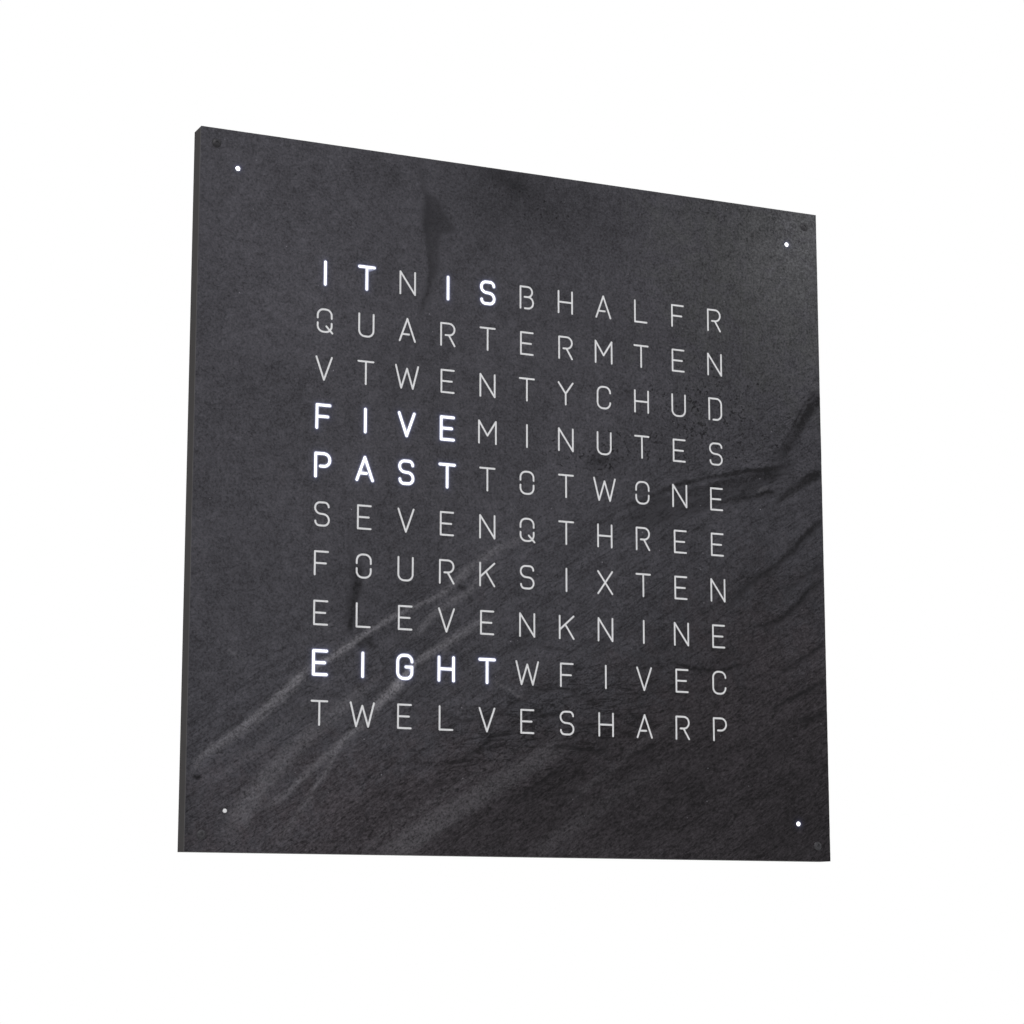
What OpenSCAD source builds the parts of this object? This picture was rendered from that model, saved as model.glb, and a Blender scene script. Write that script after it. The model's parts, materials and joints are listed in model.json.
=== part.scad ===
// Wall word clock: a square natural slate face with a grid of lit letters,
// on a slim lacquered body that hangs on two wall screws.
// X runs to the right seen from the front, +Z up, and the face looks along -Y.
// Y = 0 is the wall, and X = Z = 0 is the middle of the clock.

/* [Clock] */
// Width and height of the square clock
clock_w = 450; // [430:10:600]
// Depth of the body that shows from the side, slate included
body_d = 15; // [14.5:0.5:22]
// Depth of the rear cover, which holds the body off the wall
wall_gap = 5; // [4.5:0.5:9]

/* [Face] */
// Thickness of the slate
slate_t = 1.5; // [1:0.1:2.5]
// Thickness of the steel plate that the slate is bonded to
backing_t = 1; // [0.8:0.1:1.5]
// Distance of a corner screw from both edges
screw_inset = 10; // [8:0.5:14]
// Distance of a minute dot from both edges
dot_inset = 24.5; // [22:0.5:32]
// Diameter of a minute dot
dot_d = 3; // [2:0.1:5]

/* [Letter grid] */
// Number of letters in a row
columns = 11; // [9:1:11]
// Number of rows
rows = 10; // [8:1:10]
// Distance from letter to letter along a row
column_pitch = 28.25; // [22:0.25:34]
// Distance from row to row
row_pitch = 31; // [24:0.25:34]
// Width of the window behind a letter
window_w = 15; // [13:0.5:20]
// Height of the window behind a letter
window_h = 19.5; // [17:0.5:22]

/* [Light box] */
// Thickness of the diffuser sheet
diffuser_t = 1; // [0.5:0.1:1.5]
// Depth of a light chamber
chamber_d = 7; // [5:0.5:8]
// Thickness of the walls between light chambers
chamber_wall = 2; // [1.2:0.1:3]
// How far the boards and sheets reach past the chamber grid
board_margin = 3; // [2.5:0.5:5]
// Thickness of the circuit boards
board_t = 1.6; // [1:0.1:2]
// Width of the ledge in the frame that the LED board rests on
ledge_w = 6; // [4:0.5:10]
// Chamfer along the back edges of the frame
frame_chamfer = 0.6; // [0.2:0.1:1.5]
// Radius that the router leaves in the corners of the frame's pockets
cutter_r = 3; // [1:0.5:4]

/* [Buttons] */
// Diameter of a button
button_d = 5; // [4:0.5:6]
// How far a button stands out of the edge
button_proud = 1; // [0.8:0.1:2]
// Travel of a button
button_travel = 0.5; // [0.2:0.1:0.8]
// Distance from button to button
button_pitch = 15; // [11:0.5:20]
// Height of the middle button above the middle of the clock
button_z = -120; // [-130:5:-60]
// Thickness of the frame wall that the buttons pass through
button_wall = 12; // [8:1:14]

/* [Power socket] */
// Bore of the power socket
socket_bore = 5.6; // [5:0.1:6]
// Diameter of the socket's centre pin
socket_pin_d = 2; // [1.6:0.1:2.6]
// Length of the recess below the socket that the plug lies in
plug_recess = 34; // [28:1:38]
// Width of that recess
plug_recess_w = 14; // [12:1:18]

/* [Wall hangers] */
// Distance between the two keyholes
hanger_spacing = 240; // [160:10:280]
// Distance of the keyholes from the top edge
hanger_inset = 32; // [28:1:36]
// Diameter of the round hole that the screw head goes through
keyhole_d = 9.5; // [8:0.5:10]
// Width of the slot that the screw's shank hangs in
keyslot_w = 5; // [4:0.5:5.5]
// Thickness of a hanger plate
hanger_t = 1.5; // [1:0.1:2]

/* [Rear cover] */
// Sheet thickness of the rear cover
cover_t = 1; // [0.8:0.1:1.2]
// Inner radius of the bend between the pan's floor and its walls
floor_bend = 1; // [0.5:0.1:1.5]
// How far the cover's pan reaches past the opening in the frame
pan_lap = 8; // [6:1:12]
// Width of the flange round the pan
flange_w = 10; // [8:1:14]

/* [Hidden] */
$fn = 64;

// Clearances
part_gap = 0.3;     // between boards and the pockets they lie in
press_gap = 0.05;   // round inserts, bushes and screws, which really bite
running_gap = 0.2;  // round a button in its bush
stem_gap = 0.06;    // round a switch stem in its housing
eps = 0.01;         // cuts run this far past an open face

// Layers, from the wall to the front
y_body_back = -wall_gap;
y_front = y_body_back - body_d;
y_slate_back = y_front + slate_t;
y_frame_front = y_slate_back + backing_t;
y_diffuser_back = y_frame_front + diffuser_t;
y_grid_back = y_diffuser_back + chamber_d;
y_board_back = y_grid_back + board_t;

// Chamber grid, boards, and the opening of the frame round them
grid_w = columns * column_pitch + chamber_wall;
grid_h = rows * row_pitch + chamber_wall;
board_w = grid_w + 2 * board_margin;
board_h = grid_h + 2 * board_margin;
box_w = board_w + 2 * part_gap;
box_h = board_h + 2 * part_gap;
back_opening_w = box_w - 2 * ledge_w;
back_opening_h = box_h - 2 * ledge_w;
board_r = cutter_r - part_gap;

// Screws of the front: M3 with a domed head
front_screw_r = 1.45;
front_head_r = 3;
front_head_h = 1.5;
front_screw_l = 11;
insert_r = 2.3;
insert_l = 6;
insert_bore_r = 1.5;

// Minute dots: a stepped light pin over a small round board
dot_pos = clock_w / 2 - dot_inset;
dot_flange_r = 2.5;
dot_board_r = 5.5;
dot_board_t = 1;
dot_led_w = 3.5;
dot_led_h = 1.5;
lead_t = 0.8;
lead_w = 3;
lead_lap = 1.8;                          // how far a lead lies on the LED board
lead_dx = dot_pos - board_w / 2;
lead_dz = dot_pos - board_h / 2;
lead_angle = atan2(lead_dz, lead_dx);
lead_l = norm([lead_dx, lead_dz]);

// LEDs and driver chips
led_w = 5;
led_h = 1.6;
led_lens_r = 2;
led_lens_d = 0.3;
driver_count = 7;
driver_pitch = 38;
driver_z = 2 * row_pitch;

// Screws that hold the LED board to the bosses of the chamber grid
boss_r = 3;
boss_h = 5;
boss_columns = [1, round(columns / 3), columns - round(columns / 3), columns - 1];
boss_rows = [1, round(rows / 2), rows - 1];
board_screw_r = 0.9;
board_screw_l = 5.6;
board_head_r = 2;
board_head_h = 1.3;

// Control board, which stands on the LED board's back between two boss screws
control_w = 74;
control_h = 56;
control_r = 2.5;
control_x = 3 * column_pitch;
control_z = -2.7 * row_pitch;
standoff_h = 1.5;
standoff_r = 2.25;
standoff_inset = 4;
y_control_front = y_board_back + standoff_h;
y_control_back = y_control_front + board_t;
coin_r = 10;
coin_t = 3.2;
holder_base = 0.3;

// Buttons on the right-hand edge
edge_x = clock_w / 2;
y_button = (y_frame_front + y_body_back) / 2;
button_names = ["hour", "minute", "brightness"];
bush_wall = 1.3;
bush_bore_r = button_d / 2 + running_gap;
bush_r = bush_bore_r + bush_wall;
collar_r = button_d / 2 + 1.3;
collar_t = 1.5;
collar_gap = 0.1;
switch_w = 6;
switch_t = 3.5;
stem_r = 1.5;
stem_l = 4;
stem_in = 1.3;                            // stem inside its housing at rest
x_wall_in = edge_x - button_wall;
x_collar_in = x_wall_in - collar_gap - collar_t;
x_switch_front = x_collar_in - stem_l + stem_in;
x_switch_back = x_switch_front - switch_t;
button_board_t = 1.2;
x_button_board = x_switch_back - button_board_t;
pocket_front = 3;                         // room behind the button board
pocket_half = button_pitch + 10;
pocket_floor = 1.5;                       // frame left behind the pocket
y_pocket = y_body_back - pocket_floor;
slot_d = 1.5;                             // depth of the slots the board stands in
button_lead_w = 3.6;
button_lead_t = 0.6;

// Power socket in the bottom rail, facing down into the plug recess
socket_w = 9.6;
socket_l = 14;
socket_d = 9;
socket_bore_d = 9.5;
socket_pin_l = 9;
y_socket_back = y_body_back - part_gap;
y_socket = y_socket_back - socket_d / 2;
z_socket_top = -box_h / 2 - 4.5;
z_socket_mouth = z_socket_top - socket_l;
wire_r = 0.7;
wire_x = 1.2;
wire_channel_w = 7;

// Small lead sockets on the back of the LED board
lead_socket_w = 10;
lead_socket_l = 9;
lead_socket_h = 2.4;
x_button_socket = back_opening_w / 2 - 4;
z_power_socket = -back_opening_h / 2 + 3;

// Wall hangers in the top rail
hanger_w = 46;
hanger_h = 24;
keyslot_l = 8;
hanger_z = clock_w / 2 - hanger_inset;
hanger_mid = keyslot_l / 2;
head_pocket_r = 6;
head_pocket_d = 5;
hanger_screw_x = 17.5;
hanger_screw_r = 1.5;
hanger_head_r = 3;
hanger_screw_l = 9;

// Rear cover
pan_w = back_opening_w + 2 * pan_lap;
pan_h = back_opening_h + 2 * pan_lap;
pan_r = 6;
flange_r = 9;
cover_screw_r = 1.45;
cover_head_r = 2.7;
cover_head_h = 1.6;
cover_screw_l = 9;
cover_screw_x = pan_w / 2 + flange_w / 2;
cover_screw_z = pan_h / 2 + flange_w / 2;
cover_screw_along = 110;
vent_count = 12;
vent_pitch = 7;
vent_w = 2.5;
vent_h = 34;
vent_z = 92;

// ---- Shared shapes ----

// A flat shape in X and Z, as thick as y0 to y1
module plate(y0, y1) {
  translate([0, y1, 0]) rotate([90, 0, 0]) linear_extrude(y1 - y0) children();
}

// A round bar along Y
module rod_y(r, y0, y1) {
  translate([0, y1, 0]) rotate([90, 0, 0]) cylinder(r = r, h = y1 - y0);
}

// A round bar along X
module rod_x(r, x0, x1) {
  translate([x0, 0, 0]) rotate([0, 90, 0]) cylinder(r = r, h = x1 - x0);
}

// A block given by its low and high corners
module block(low, high) {
  translate(low) cube(high - low);
}

// A rectangle with round corners
module rounded(w, h, r) {
  square([w - 2 * r, h], center = true);
  square([w, h - 2 * r], center = true);
  for (x = [-1, 1], z = [-1, 1])
    translate([x * (w / 2 - r), z * (h / 2 - r)]) circle(r = r);
}

// A slot with round ends, upright
module slot(w, h) {
  square([w, h - w], center = true);
  for (t = [-1, 1]) translate([0, t * (h - w) / 2]) circle(d = w);
}

// A block from y0 to y1 with round corners, and round edges about its face at y1
module pan_block(w, h, r, bend, y0, y1) {
  y_bend = y1 - bend;
  plate(y0, y_bend) rounded(w, h, r);
  plate(y0, y1) rounded(w - 2 * bend, h - 2 * bend, r - bend);
  for (s = [-1, 1]) {
    translate([s * (w / 2 - bend), y_bend, 0]) cylinder(r = bend, h = h - 2 * r, center = true);
    translate([0, y_bend, s * (h / 2 - bend)]) rotate([0, 90, 0])
      cylinder(r = bend, h = w - 2 * r, center = true);
  }
  for (s = [-1, 1], t = [-1, 1])
    translate([s * (w / 2 - r), y_bend, t * (h / 2 - r)]) rotate([-90, 0, 0]) rotate_extrude() {
      square([r - bend, bend]);
      intersection() {
        translate([r - bend, 0]) circle(r = bend);
        square([r, bend]);
      }
    }
}

// The same shape at all four corners, by mirroring
module four_corners() {
  for (mx = [0, 1], mz = [0, 1])
    mirror([mx, 0, 0]) mirror([0, 0, mz]) children();
}

// One child at every letter place
module at_letters() {
  for (c = [0 : columns - 1], r = [0 : rows - 1])
    translate([(c - (columns - 1) / 2) * column_pitch, 0, ((rows - 1) / 2 - r) * row_pitch])
      children();
}

// One child at every boss, where walls of the chamber grid cross
module at_bosses() {
  for (c = boss_columns, r = boss_rows)
    translate([(c - columns / 2) * column_pitch, 0, (r - rows / 2) * row_pitch]) children();
}

// One child at each button, counted from the top
module at_buttons(which = [0, 1, 2]) {
  for (i = which)
    translate([0, y_button, button_z + (1 - i) * button_pitch]) children();
}

// One child at each keyhole
module at_hangers() {
  for (s = [-1, 1]) translate([s * hanger_spacing / 2, 0, hanger_z]) children();
}

// One child at each screw of the rear cover
module at_cover_screws() {
  for (s = [-1, 1], t = [-1, 1]) {
    translate([s * cover_screw_x, 0, t * cover_screw_along]) children();
    translate([s * cover_screw_along, 0, t * cover_screw_z]) children();
  }
}

// One child at each standoff of the control board
module at_standoffs() {
  for (s = [-1, 1], t = [-1, 1])
    translate([control_x + s * (control_w / 2 - standoff_inset), 0,
               control_z + t * (control_h / 2 - standoff_inset)]) children();
}

// Outline of the clock's square face
module face_outline() {
  square([clock_w, clock_w], center = true);
}

// A screw along Y whose shank runs to -Y from a flat-bottomed domed head at y = 0
module domed_screw(head_r, head_h, shank_r, shank_l, key_w) {
  dome_r = (head_r * head_r + head_h * head_h) / (2 * head_h);
  difference() {
    union() {
      rotate([-90, 0, 0]) intersection() {
        cylinder(r = head_r, h = head_h);
        translate([0, 0, head_h - dome_r]) sphere(r = dome_r);
      }
      rod_y(shank_r, -shank_l, eps);
    }
    translate([0, head_h * 0.4, 0]) rotate([-90, 0, 0])
      cylinder(r = key_w / sqrt(3), h = head_h, $fn = 6);
  }
}

// A small chip that lies on a board facing +Y, with legs along two or four sides
module chip(w, h, t, legs, leg_pitch, four_sided = false) {
  leg_w = leg_pitch * 0.45;
  leg_out = 1;
  leg_in = 0.2;
  block([-w / 2, 0.1, -h / 2], [w / 2, t, h / 2]);
  for (i = [0 : legs - 1], side = [0, 180]) {
    along = (i - (legs - 1) / 2) * leg_pitch;
    rotate([0, side, 0])
      block([along - leg_w / 2, 0, h / 2 - leg_in], [along + leg_w / 2, t * 0.4, h / 2 + leg_out]);
    if (four_sided) rotate([0, side + 90, 0])
      block([along - leg_w / 2, 0, w / 2 - leg_in], [along + leg_w / 2, t * 0.4, w / 2 + leg_out]);
  }
}

// The button, its bush side at +X
module push_button() {
  chamfer = 0.5;
  rotate([0, 90, 0]) rotate_extrude() polygon([
    [0, x_collar_in],
    [collar_r, x_collar_in],
    [collar_r, x_collar_in + collar_t],
    [button_d / 2, x_collar_in + collar_t],
    [button_d / 2, edge_x + button_proud - chamfer],
    [button_d / 2 - chamfer, edge_x + button_proud],
    [0, edge_x + button_proud]
  ]);
}

// The moving stem of the switch behind a button
module switch_stem() {
  rod_x(stem_r, x_switch_front - stem_in, x_collar_in);
}

// ---- Face ----

module slate_face() {
  color([0.27, 0.265, 0.285]) difference() {
    plate(y_front, y_slate_back) face_outline();
    four_corners() translate([dot_pos, 0, dot_pos])
      rod_y(dot_d / 2 + 0.1, y_front - eps, y_slate_back + eps);
    four_corners() translate([edge_x - screw_inset, 0, edge_x - screw_inset])
      rod_y(front_screw_r + part_gap, y_front - eps, y_slate_back + eps);
  }
}

module steel_backing() {
  color([0.3, 0.3, 0.3]) difference() {
    plate(y_slate_back, y_frame_front) difference() {
      face_outline();
      for (c = [0 : columns - 1], r = [0 : rows - 1])
        translate([(c - (columns - 1) / 2) * column_pitch, (r - (rows - 1) / 2) * row_pitch])
          square([window_w, window_h], center = true);
    }
    four_corners() translate([dot_pos, 0, dot_pos])
      rod_y(dot_d / 2 + 0.1, y_slate_back - eps, y_frame_front + eps);
    four_corners() translate([edge_x - screw_inset, 0, edge_x - screw_inset])
      rod_y(front_screw_r + part_gap, y_slate_back - eps, y_frame_front + eps);
  }
}

module corner_screws() {
  color([0.16, 0.16, 0.17])
    for (s = [-1, 1], t = [-1, 1])
      translate([s * (edge_x - screw_inset), y_front, t * (edge_x - screw_inset)])
        rotate([0, 0, 180]) domed_screw(front_head_r, front_head_h, front_screw_r, front_screw_l, 2);
}

module threaded_inserts() {
  color([0.72, 0.58, 0.3]) four_corners()
    translate([edge_x - screw_inset, 0, edge_x - screw_inset]) difference() {
      rod_y(insert_r, y_frame_front, y_frame_front + insert_l);
      rod_y(insert_bore_r, y_frame_front - eps, y_frame_front + insert_l + eps);
    }
}

module minute_lenses() {
  color([0.95, 0.96, 1]) four_corners() translate([dot_pos, 0, dot_pos]) {
    rod_y(dot_d / 2, y_front, y_frame_front + eps);
    rod_y(dot_flange_r, y_frame_front, y_diffuser_back);
  }
}

// ---- Light box ----

module diffuser_sheet() {
  color([0.93, 0.94, 0.95]) plate(y_frame_front, y_diffuser_back)
    rounded(board_w, board_h, board_r);
}

// Walls that keep the light of each letter to itself, with bosses where they cross
module chamber_grid() {
  color([0.9, 0.9, 0.88]) difference() {
    union() {
      plate(y_diffuser_back, y_grid_back) difference() {
        square([grid_w, grid_h], center = true);
        for (c = [0 : columns - 1], r = [0 : rows - 1])
          translate([(c - (columns - 1) / 2) * column_pitch, (r - (rows - 1) / 2) * row_pitch])
            square([column_pitch - chamber_wall, row_pitch - chamber_wall], center = true);
      }
      at_bosses() rod_y(boss_r, y_grid_back - boss_h, y_grid_back);
    }
    at_bosses() rod_y(board_screw_r + press_gap, y_grid_back - boss_h + 0.6, y_grid_back + eps);
  }
}

module body_frame() {
  color([0.27, 0.265, 0.265]) difference() {
    plate(y_frame_front, y_body_back) face_outline();
    plate(y_frame_front - eps, y_board_back) rounded(box_w, box_h, cutter_r);
    plate(y_board_back - eps, y_body_back + eps)
      rounded(back_opening_w, back_opening_h, cutter_r);
    four_corners() translate([edge_x - screw_inset, 0, edge_x - screw_inset])
      rod_y(insert_r + press_gap, y_frame_front - eps, y_front + front_screw_l + 0.5);
    dot_pockets();
    button_pocket();
    socket_pocket();
    at_hangers() hanger_pocket();
    at_cover_screws() rod_y(cover_screw_r + press_gap, y_body_back - cover_screw_l, y_body_back + eps);
    rear_arris();
  }
}

// Small chamfer along the four back edges of the frame
module rear_arris() {
  side = frame_chamfer * sqrt(2);
  for (a = [0, 90, 180, 270])
    rotate([0, a, 0]) translate([edge_x, y_body_back, 0]) rotate([0, 0, 45])
      cube([side, side, clock_w + 2], center = true);
}

// Round pocket behind each minute dot, with a channel for its lead
module dot_pockets() {
  four_corners() translate([dot_pos, 0, dot_pos])
    rod_y(dot_board_r + part_gap, y_frame_front - eps, y_grid_back + dot_board_t);
  four_corners() plate(y_frame_front - eps, y_grid_back)
    translate([board_w / 2, board_h / 2]) rotate(lead_angle)
      translate([-2, -(lead_w / 2 + 1)]) square([lead_l + 2, lead_w + 2]);
}

// Pocket for the button board, its slots, the bush holes and the lead's channel
module button_pocket() {
  block([x_button_board - pocket_front, y_frame_front - eps, button_z - pocket_half],
        [x_wall_in, y_pocket, button_z + pocket_half]);
  block([x_button_board - 0.1, y_frame_front - eps, button_z - pocket_half - slot_d],
        [x_button_board + button_board_t + 0.1, y_pocket, button_z + pocket_half + slot_d]);
  block([back_opening_w / 2 - eps, y_frame_front - eps, button_z - button_lead_w / 2 - 0.7],
        [x_button_board, y_pocket, button_z + button_lead_w / 2 + 0.7]);
  at_buttons() rod_x(bush_r + press_gap, x_wall_in - eps, edge_x + eps);
}

// Pocket for the power socket, the wires' channel and the recess for the plug
module socket_pocket() {
  block([-socket_w / 2 - part_gap, y_socket_back - socket_d - part_gap, z_socket_mouth],
        [socket_w / 2 + part_gap, y_body_back + eps, z_socket_top + part_gap]);
  block([-wire_channel_w / 2, y_board_back, z_socket_top],
        [wire_channel_w / 2, y_body_back + eps, -back_opening_h / 2 + eps]);
  plate(y_socket_back - socket_d - part_gap, y_body_back + eps) {
    translate([-plug_recess_w / 2, z_socket_mouth - plug_recess + plug_recess_w / 2])
      square([plug_recess_w, plug_recess - plug_recess_w / 2 + eps]);
    translate([0, z_socket_mouth - plug_recess + plug_recess_w / 2]) circle(d = plug_recess_w);
  }
}

// Recess for a hanger plate, room for the wall screw's head, and screw holes
module hanger_pocket() {
  plate(y_body_back - hanger_t, y_body_back + eps) translate([0, hanger_mid])
    rounded(hanger_w + 2 * part_gap, hanger_h + 2 * part_gap, cutter_r);
  plate(y_body_back - hanger_t - head_pocket_d, y_body_back - hanger_t + eps) {
    translate([-head_pocket_r, 0]) square([2 * head_pocket_r, keyslot_l]);
    circle(r = head_pocket_r);
    translate([0, keyslot_l]) circle(r = head_pocket_r);
  }
  for (s = [-1, 1]) translate([s * hanger_screw_x, 0, hanger_mid])
    rod_y(hanger_screw_r + press_gap, y_body_back - hanger_screw_l - 0.5, y_body_back);
}

// ---- LED board and what is on it ----

module led_board() {
  color([0.93, 0.93, 0.9]) difference() {
    plate(y_grid_back, y_board_back) rounded(board_w, board_h, board_r);
    at_bosses() rod_y(board_screw_r + part_gap, y_grid_back - eps, y_board_back + eps);
  }
}

module letter_leds() {
  color([0.98, 0.95, 0.8]) at_letters() difference() {
    block([-led_w / 2, y_grid_back - led_h, -led_w / 2], [led_w / 2, y_grid_back, led_w / 2]);
    rod_y(led_lens_r, y_grid_back - led_h - eps, y_grid_back - led_h + led_lens_d);
  }
}

module led_drivers() {
  color([0.12, 0.12, 0.13])
    for (i = [0 : driver_count - 1])
      translate([(i - (driver_count - 1) / 2) * driver_pitch, y_board_back, driver_z])
        chip(7.8, 4.4, 1.1, 12, 0.65);
}

module led_board_screws() {
  color([0.7, 0.7, 0.72]) at_bosses() translate([0, y_board_back, 0])
    domed_screw(board_head_r, board_head_h, board_screw_r, board_screw_l, 1.3);
}

module dot_boards() {
  color([0.93, 0.93, 0.9]) four_corners() translate([dot_pos, 0, dot_pos])
    rod_y(dot_board_r, y_grid_back, y_grid_back + dot_board_t);
}

module dot_leds() {
  color([0.98, 0.95, 0.8]) four_corners() translate([dot_pos, 0, dot_pos])
    block([-dot_led_w / 2, y_grid_back - dot_led_h, -dot_led_w / 2],
          [dot_led_w / 2, y_grid_back, dot_led_w / 2]);
}

// Flat leads from the dot boards to the corners of the LED board
module dot_leads() {
  color([0.85, 0.85, 0.82]) four_corners() plate(y_grid_back - lead_t, y_grid_back)
    translate([board_w / 2, board_h / 2]) rotate(lead_angle)
      translate([-lead_lap, -lead_w / 2])
        square([lead_l + lead_lap - dot_led_w / 2 * sqrt(2) - 0.4, lead_w]);
}

// ---- Control board and what is on it ----

module control_board() {
  color([0.1, 0.35, 0.2]) difference() {
    plate(y_control_front, y_control_back) translate([control_x, control_z])
      rounded(control_w, control_h, control_r);
    at_standoffs() rod_y(board_screw_r + part_gap, y_control_front - eps, y_control_back + eps);
  }
}

module board_standoffs() {
  color([0.72, 0.58, 0.3]) at_standoffs() difference() {
    rod_y(standoff_r, y_board_back, y_control_front);
    rod_y(board_screw_r + press_gap, y_board_back - eps, y_control_front + eps);
  }
}

module control_board_screws() {
  color([0.7, 0.7, 0.72]) at_standoffs() translate([0, y_control_back, 0])
    domed_screw(board_head_r, board_head_h, board_screw_r, board_t + standoff_h - 0.1, 1.3);
}

// Pin header that joins the two boards
module board_header() {
  color([0.1, 0.1, 0.1])
    block([control_x - 15, y_board_back, control_z + control_h / 2 - 4],
          [control_x + 15, y_control_front, control_z + control_h / 2 - 1.5]);
}

module microcontroller() {
  color([0.12, 0.12, 0.13]) translate([control_x - 20, y_control_back, control_z + 8])
    chip(10, 10, 1.4, 11, 0.8, four_sided = true);
}

module clock_chip() {
  color([0.12, 0.12, 0.13]) translate([control_x - 2, y_control_back, control_z + 12])
    chip(5, 4, 1.6, 4, 1.27);
}

module quartz_crystal() {
  color([0.8, 0.8, 0.82]) translate([control_x - 5, y_control_back + 1, control_z + 4])
    rod_x(1, 0, 6);
}

module voltage_regulator() {
  color([0.12, 0.12, 0.13]) translate([control_x - 24, y_control_back, control_z - 14])
    chip(6.5, 3.5, 1.7, 3, 2.3);
}

module smoothing_capacitors() {
  color([0.75, 0.75, 0.77]) for (i = [0, 1])
    translate([control_x - 14 + 7 * i, y_control_back, control_z - 14]) rod_y(2.5, 0, 2.9);
}

module at_coin() {
  translate([control_x + 20, y_control_back, control_z]) children();
}

module coin_cell_holder() {
  color([0.15, 0.15, 0.15]) at_coin() difference() {
    rod_y(coin_r + 1.5, 0, holder_base + coin_t * 0.7);
    rod_y(coin_r + 0.15, holder_base, coin_t + 1);
    block([-coin_r * 0.6, holder_base, -coin_r - 4], [coin_r * 0.6, coin_t + 1, 0]);
  }
}

module coin_cell() {
  color([0.78, 0.78, 0.8]) at_coin() {
    rod_y(coin_r, holder_base, holder_base + coin_t - 0.5);
    rod_y(coin_r - 1.2, holder_base, holder_base + coin_t);
  }
}

// Sprung bridge over the cell, soldered to the board at both ends
module coin_cell_clip() {
  clip_w = 4;
  clip_t = 0.2;
  reach = coin_r + 2;
  color([0.8, 0.78, 0.7]) at_coin() {
    block([-reach, holder_base + coin_t, -clip_w / 2],
          [reach, holder_base + coin_t + clip_t, clip_w / 2]);
    for (s = [-1, 1])
      block([s * reach - clip_t / 2, 0, -clip_w / 2],
            [s * reach + clip_t / 2, holder_base + coin_t + clip_t, clip_w / 2]);
  }
}

// ---- Power ----

// Two small sockets on the LED board: one for the power wires, one for the button lead
module lead_sockets() {
  color([0.9, 0.88, 0.8]) {
    block([-lead_socket_w / 2, y_board_back, z_power_socket],
          [lead_socket_w / 2, y_board_back + lead_socket_h, z_power_socket + lead_socket_l]);
    block([x_button_socket - lead_socket_l, y_board_back, button_z - lead_socket_w / 2],
          [x_button_socket, y_board_back + lead_socket_h, button_z + lead_socket_w / 2]);
  }
}

module power_socket() {
  color([0.1, 0.1, 0.11]) difference() {
    block([-socket_w / 2, y_socket_back - socket_d, z_socket_mouth],
          [socket_w / 2, y_socket_back, z_socket_top]);
    translate([0, y_socket, z_socket_mouth - eps]) cylinder(d = socket_bore, h = socket_bore_d + eps);
  }
}

module power_socket_pin() {
  color([0.8, 0.78, 0.7]) translate([0, y_socket, z_socket_mouth + socket_bore_d - socket_pin_l])
    cylinder(d = socket_pin_d, h = socket_pin_l);
}

module power_wires() {
  color([0.6, 0.1, 0.1]) for (s = [-1, 1])
    translate([s * wire_x, y_board_back + wire_r + 0.1, z_socket_top])
      cylinder(r = wire_r, h = z_power_socket - z_socket_top);
}

// ---- Buttons ----

module button_board() {
  color([0.1, 0.35, 0.2])
    block([x_button_board, y_frame_front + 1, button_z - pocket_half - slot_d + part_gap],
          [x_button_board + button_board_t, y_pocket, button_z + pocket_half + slot_d - part_gap]);
}

module button_lead() {
  color([0.85, 0.85, 0.82])
    block([x_button_socket, y_pocket - button_lead_t, button_z - button_lead_w / 2],
          [x_button_board, y_pocket, button_z + button_lead_w / 2]);
}

module button_switches() {
  color([0.12, 0.12, 0.13]) at_buttons() difference() {
    block([x_switch_back, -switch_w / 2, -switch_w / 2], [x_switch_front, switch_w / 2, switch_w / 2]);
    rod_x(stem_r + stem_gap, x_switch_front - stem_in - button_travel - 0.3, x_switch_front + eps);
  }
}

module button_bushes() {
  color([0.1, 0.1, 0.11]) at_buttons() difference() {
    rod_x(bush_r, x_wall_in, edge_x);
    rod_x(bush_bore_r, x_wall_in - eps, edge_x + eps);
  }
}

module hour_button() {
  color([0.2, 0.2, 0.21]) at_buttons([0]) push_button();
}

module hour_switch_stem() {
  color([0.6, 0.6, 0.6]) at_buttons([0]) switch_stem();
}

module minute_button() {
  color([0.2, 0.2, 0.21]) at_buttons([1]) push_button();
}

module minute_switch_stem() {
  color([0.6, 0.6, 0.6]) at_buttons([1]) switch_stem();
}

module brightness_button() {
  color([0.2, 0.2, 0.21]) at_buttons([2]) push_button();
}

module brightness_switch_stem() {
  color([0.6, 0.6, 0.6]) at_buttons([2]) switch_stem();
}

// ---- Back ----

// A shallow pressed pan with a flange, its flat floor against the wall
module rear_cover() {
  color([0.2, 0.2, 0.21]) difference() {
    union() {
      plate(y_body_back, y_body_back + cover_t)
        rounded(pan_w + 2 * flange_w, pan_h + 2 * flange_w, flange_r);
      pan_block(pan_w, pan_h, pan_r, floor_bend + cover_t, y_body_back, 0);
    }
    pan_block(pan_w - 2 * cover_t, pan_h - 2 * cover_t, pan_r - cover_t, floor_bend,
              y_body_back - eps, -cover_t);
    at_cover_screws() rod_y(cover_screw_r + part_gap, y_body_back - eps, 0);
    for (i = [0 : vent_count - 1], t = [-1, 1])
      plate(-cover_t - eps, eps) translate([(i - (vent_count - 1) / 2) * vent_pitch, t * vent_z])
        slot(vent_w, vent_h);
  }
}

module rear_cover_screws() {
  color([0.16, 0.16, 0.17]) at_cover_screws() translate([0, y_body_back + cover_t, 0])
    domed_screw(cover_head_r, cover_head_h, cover_screw_r, cover_screw_l - 0.2, 2);
}

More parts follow.
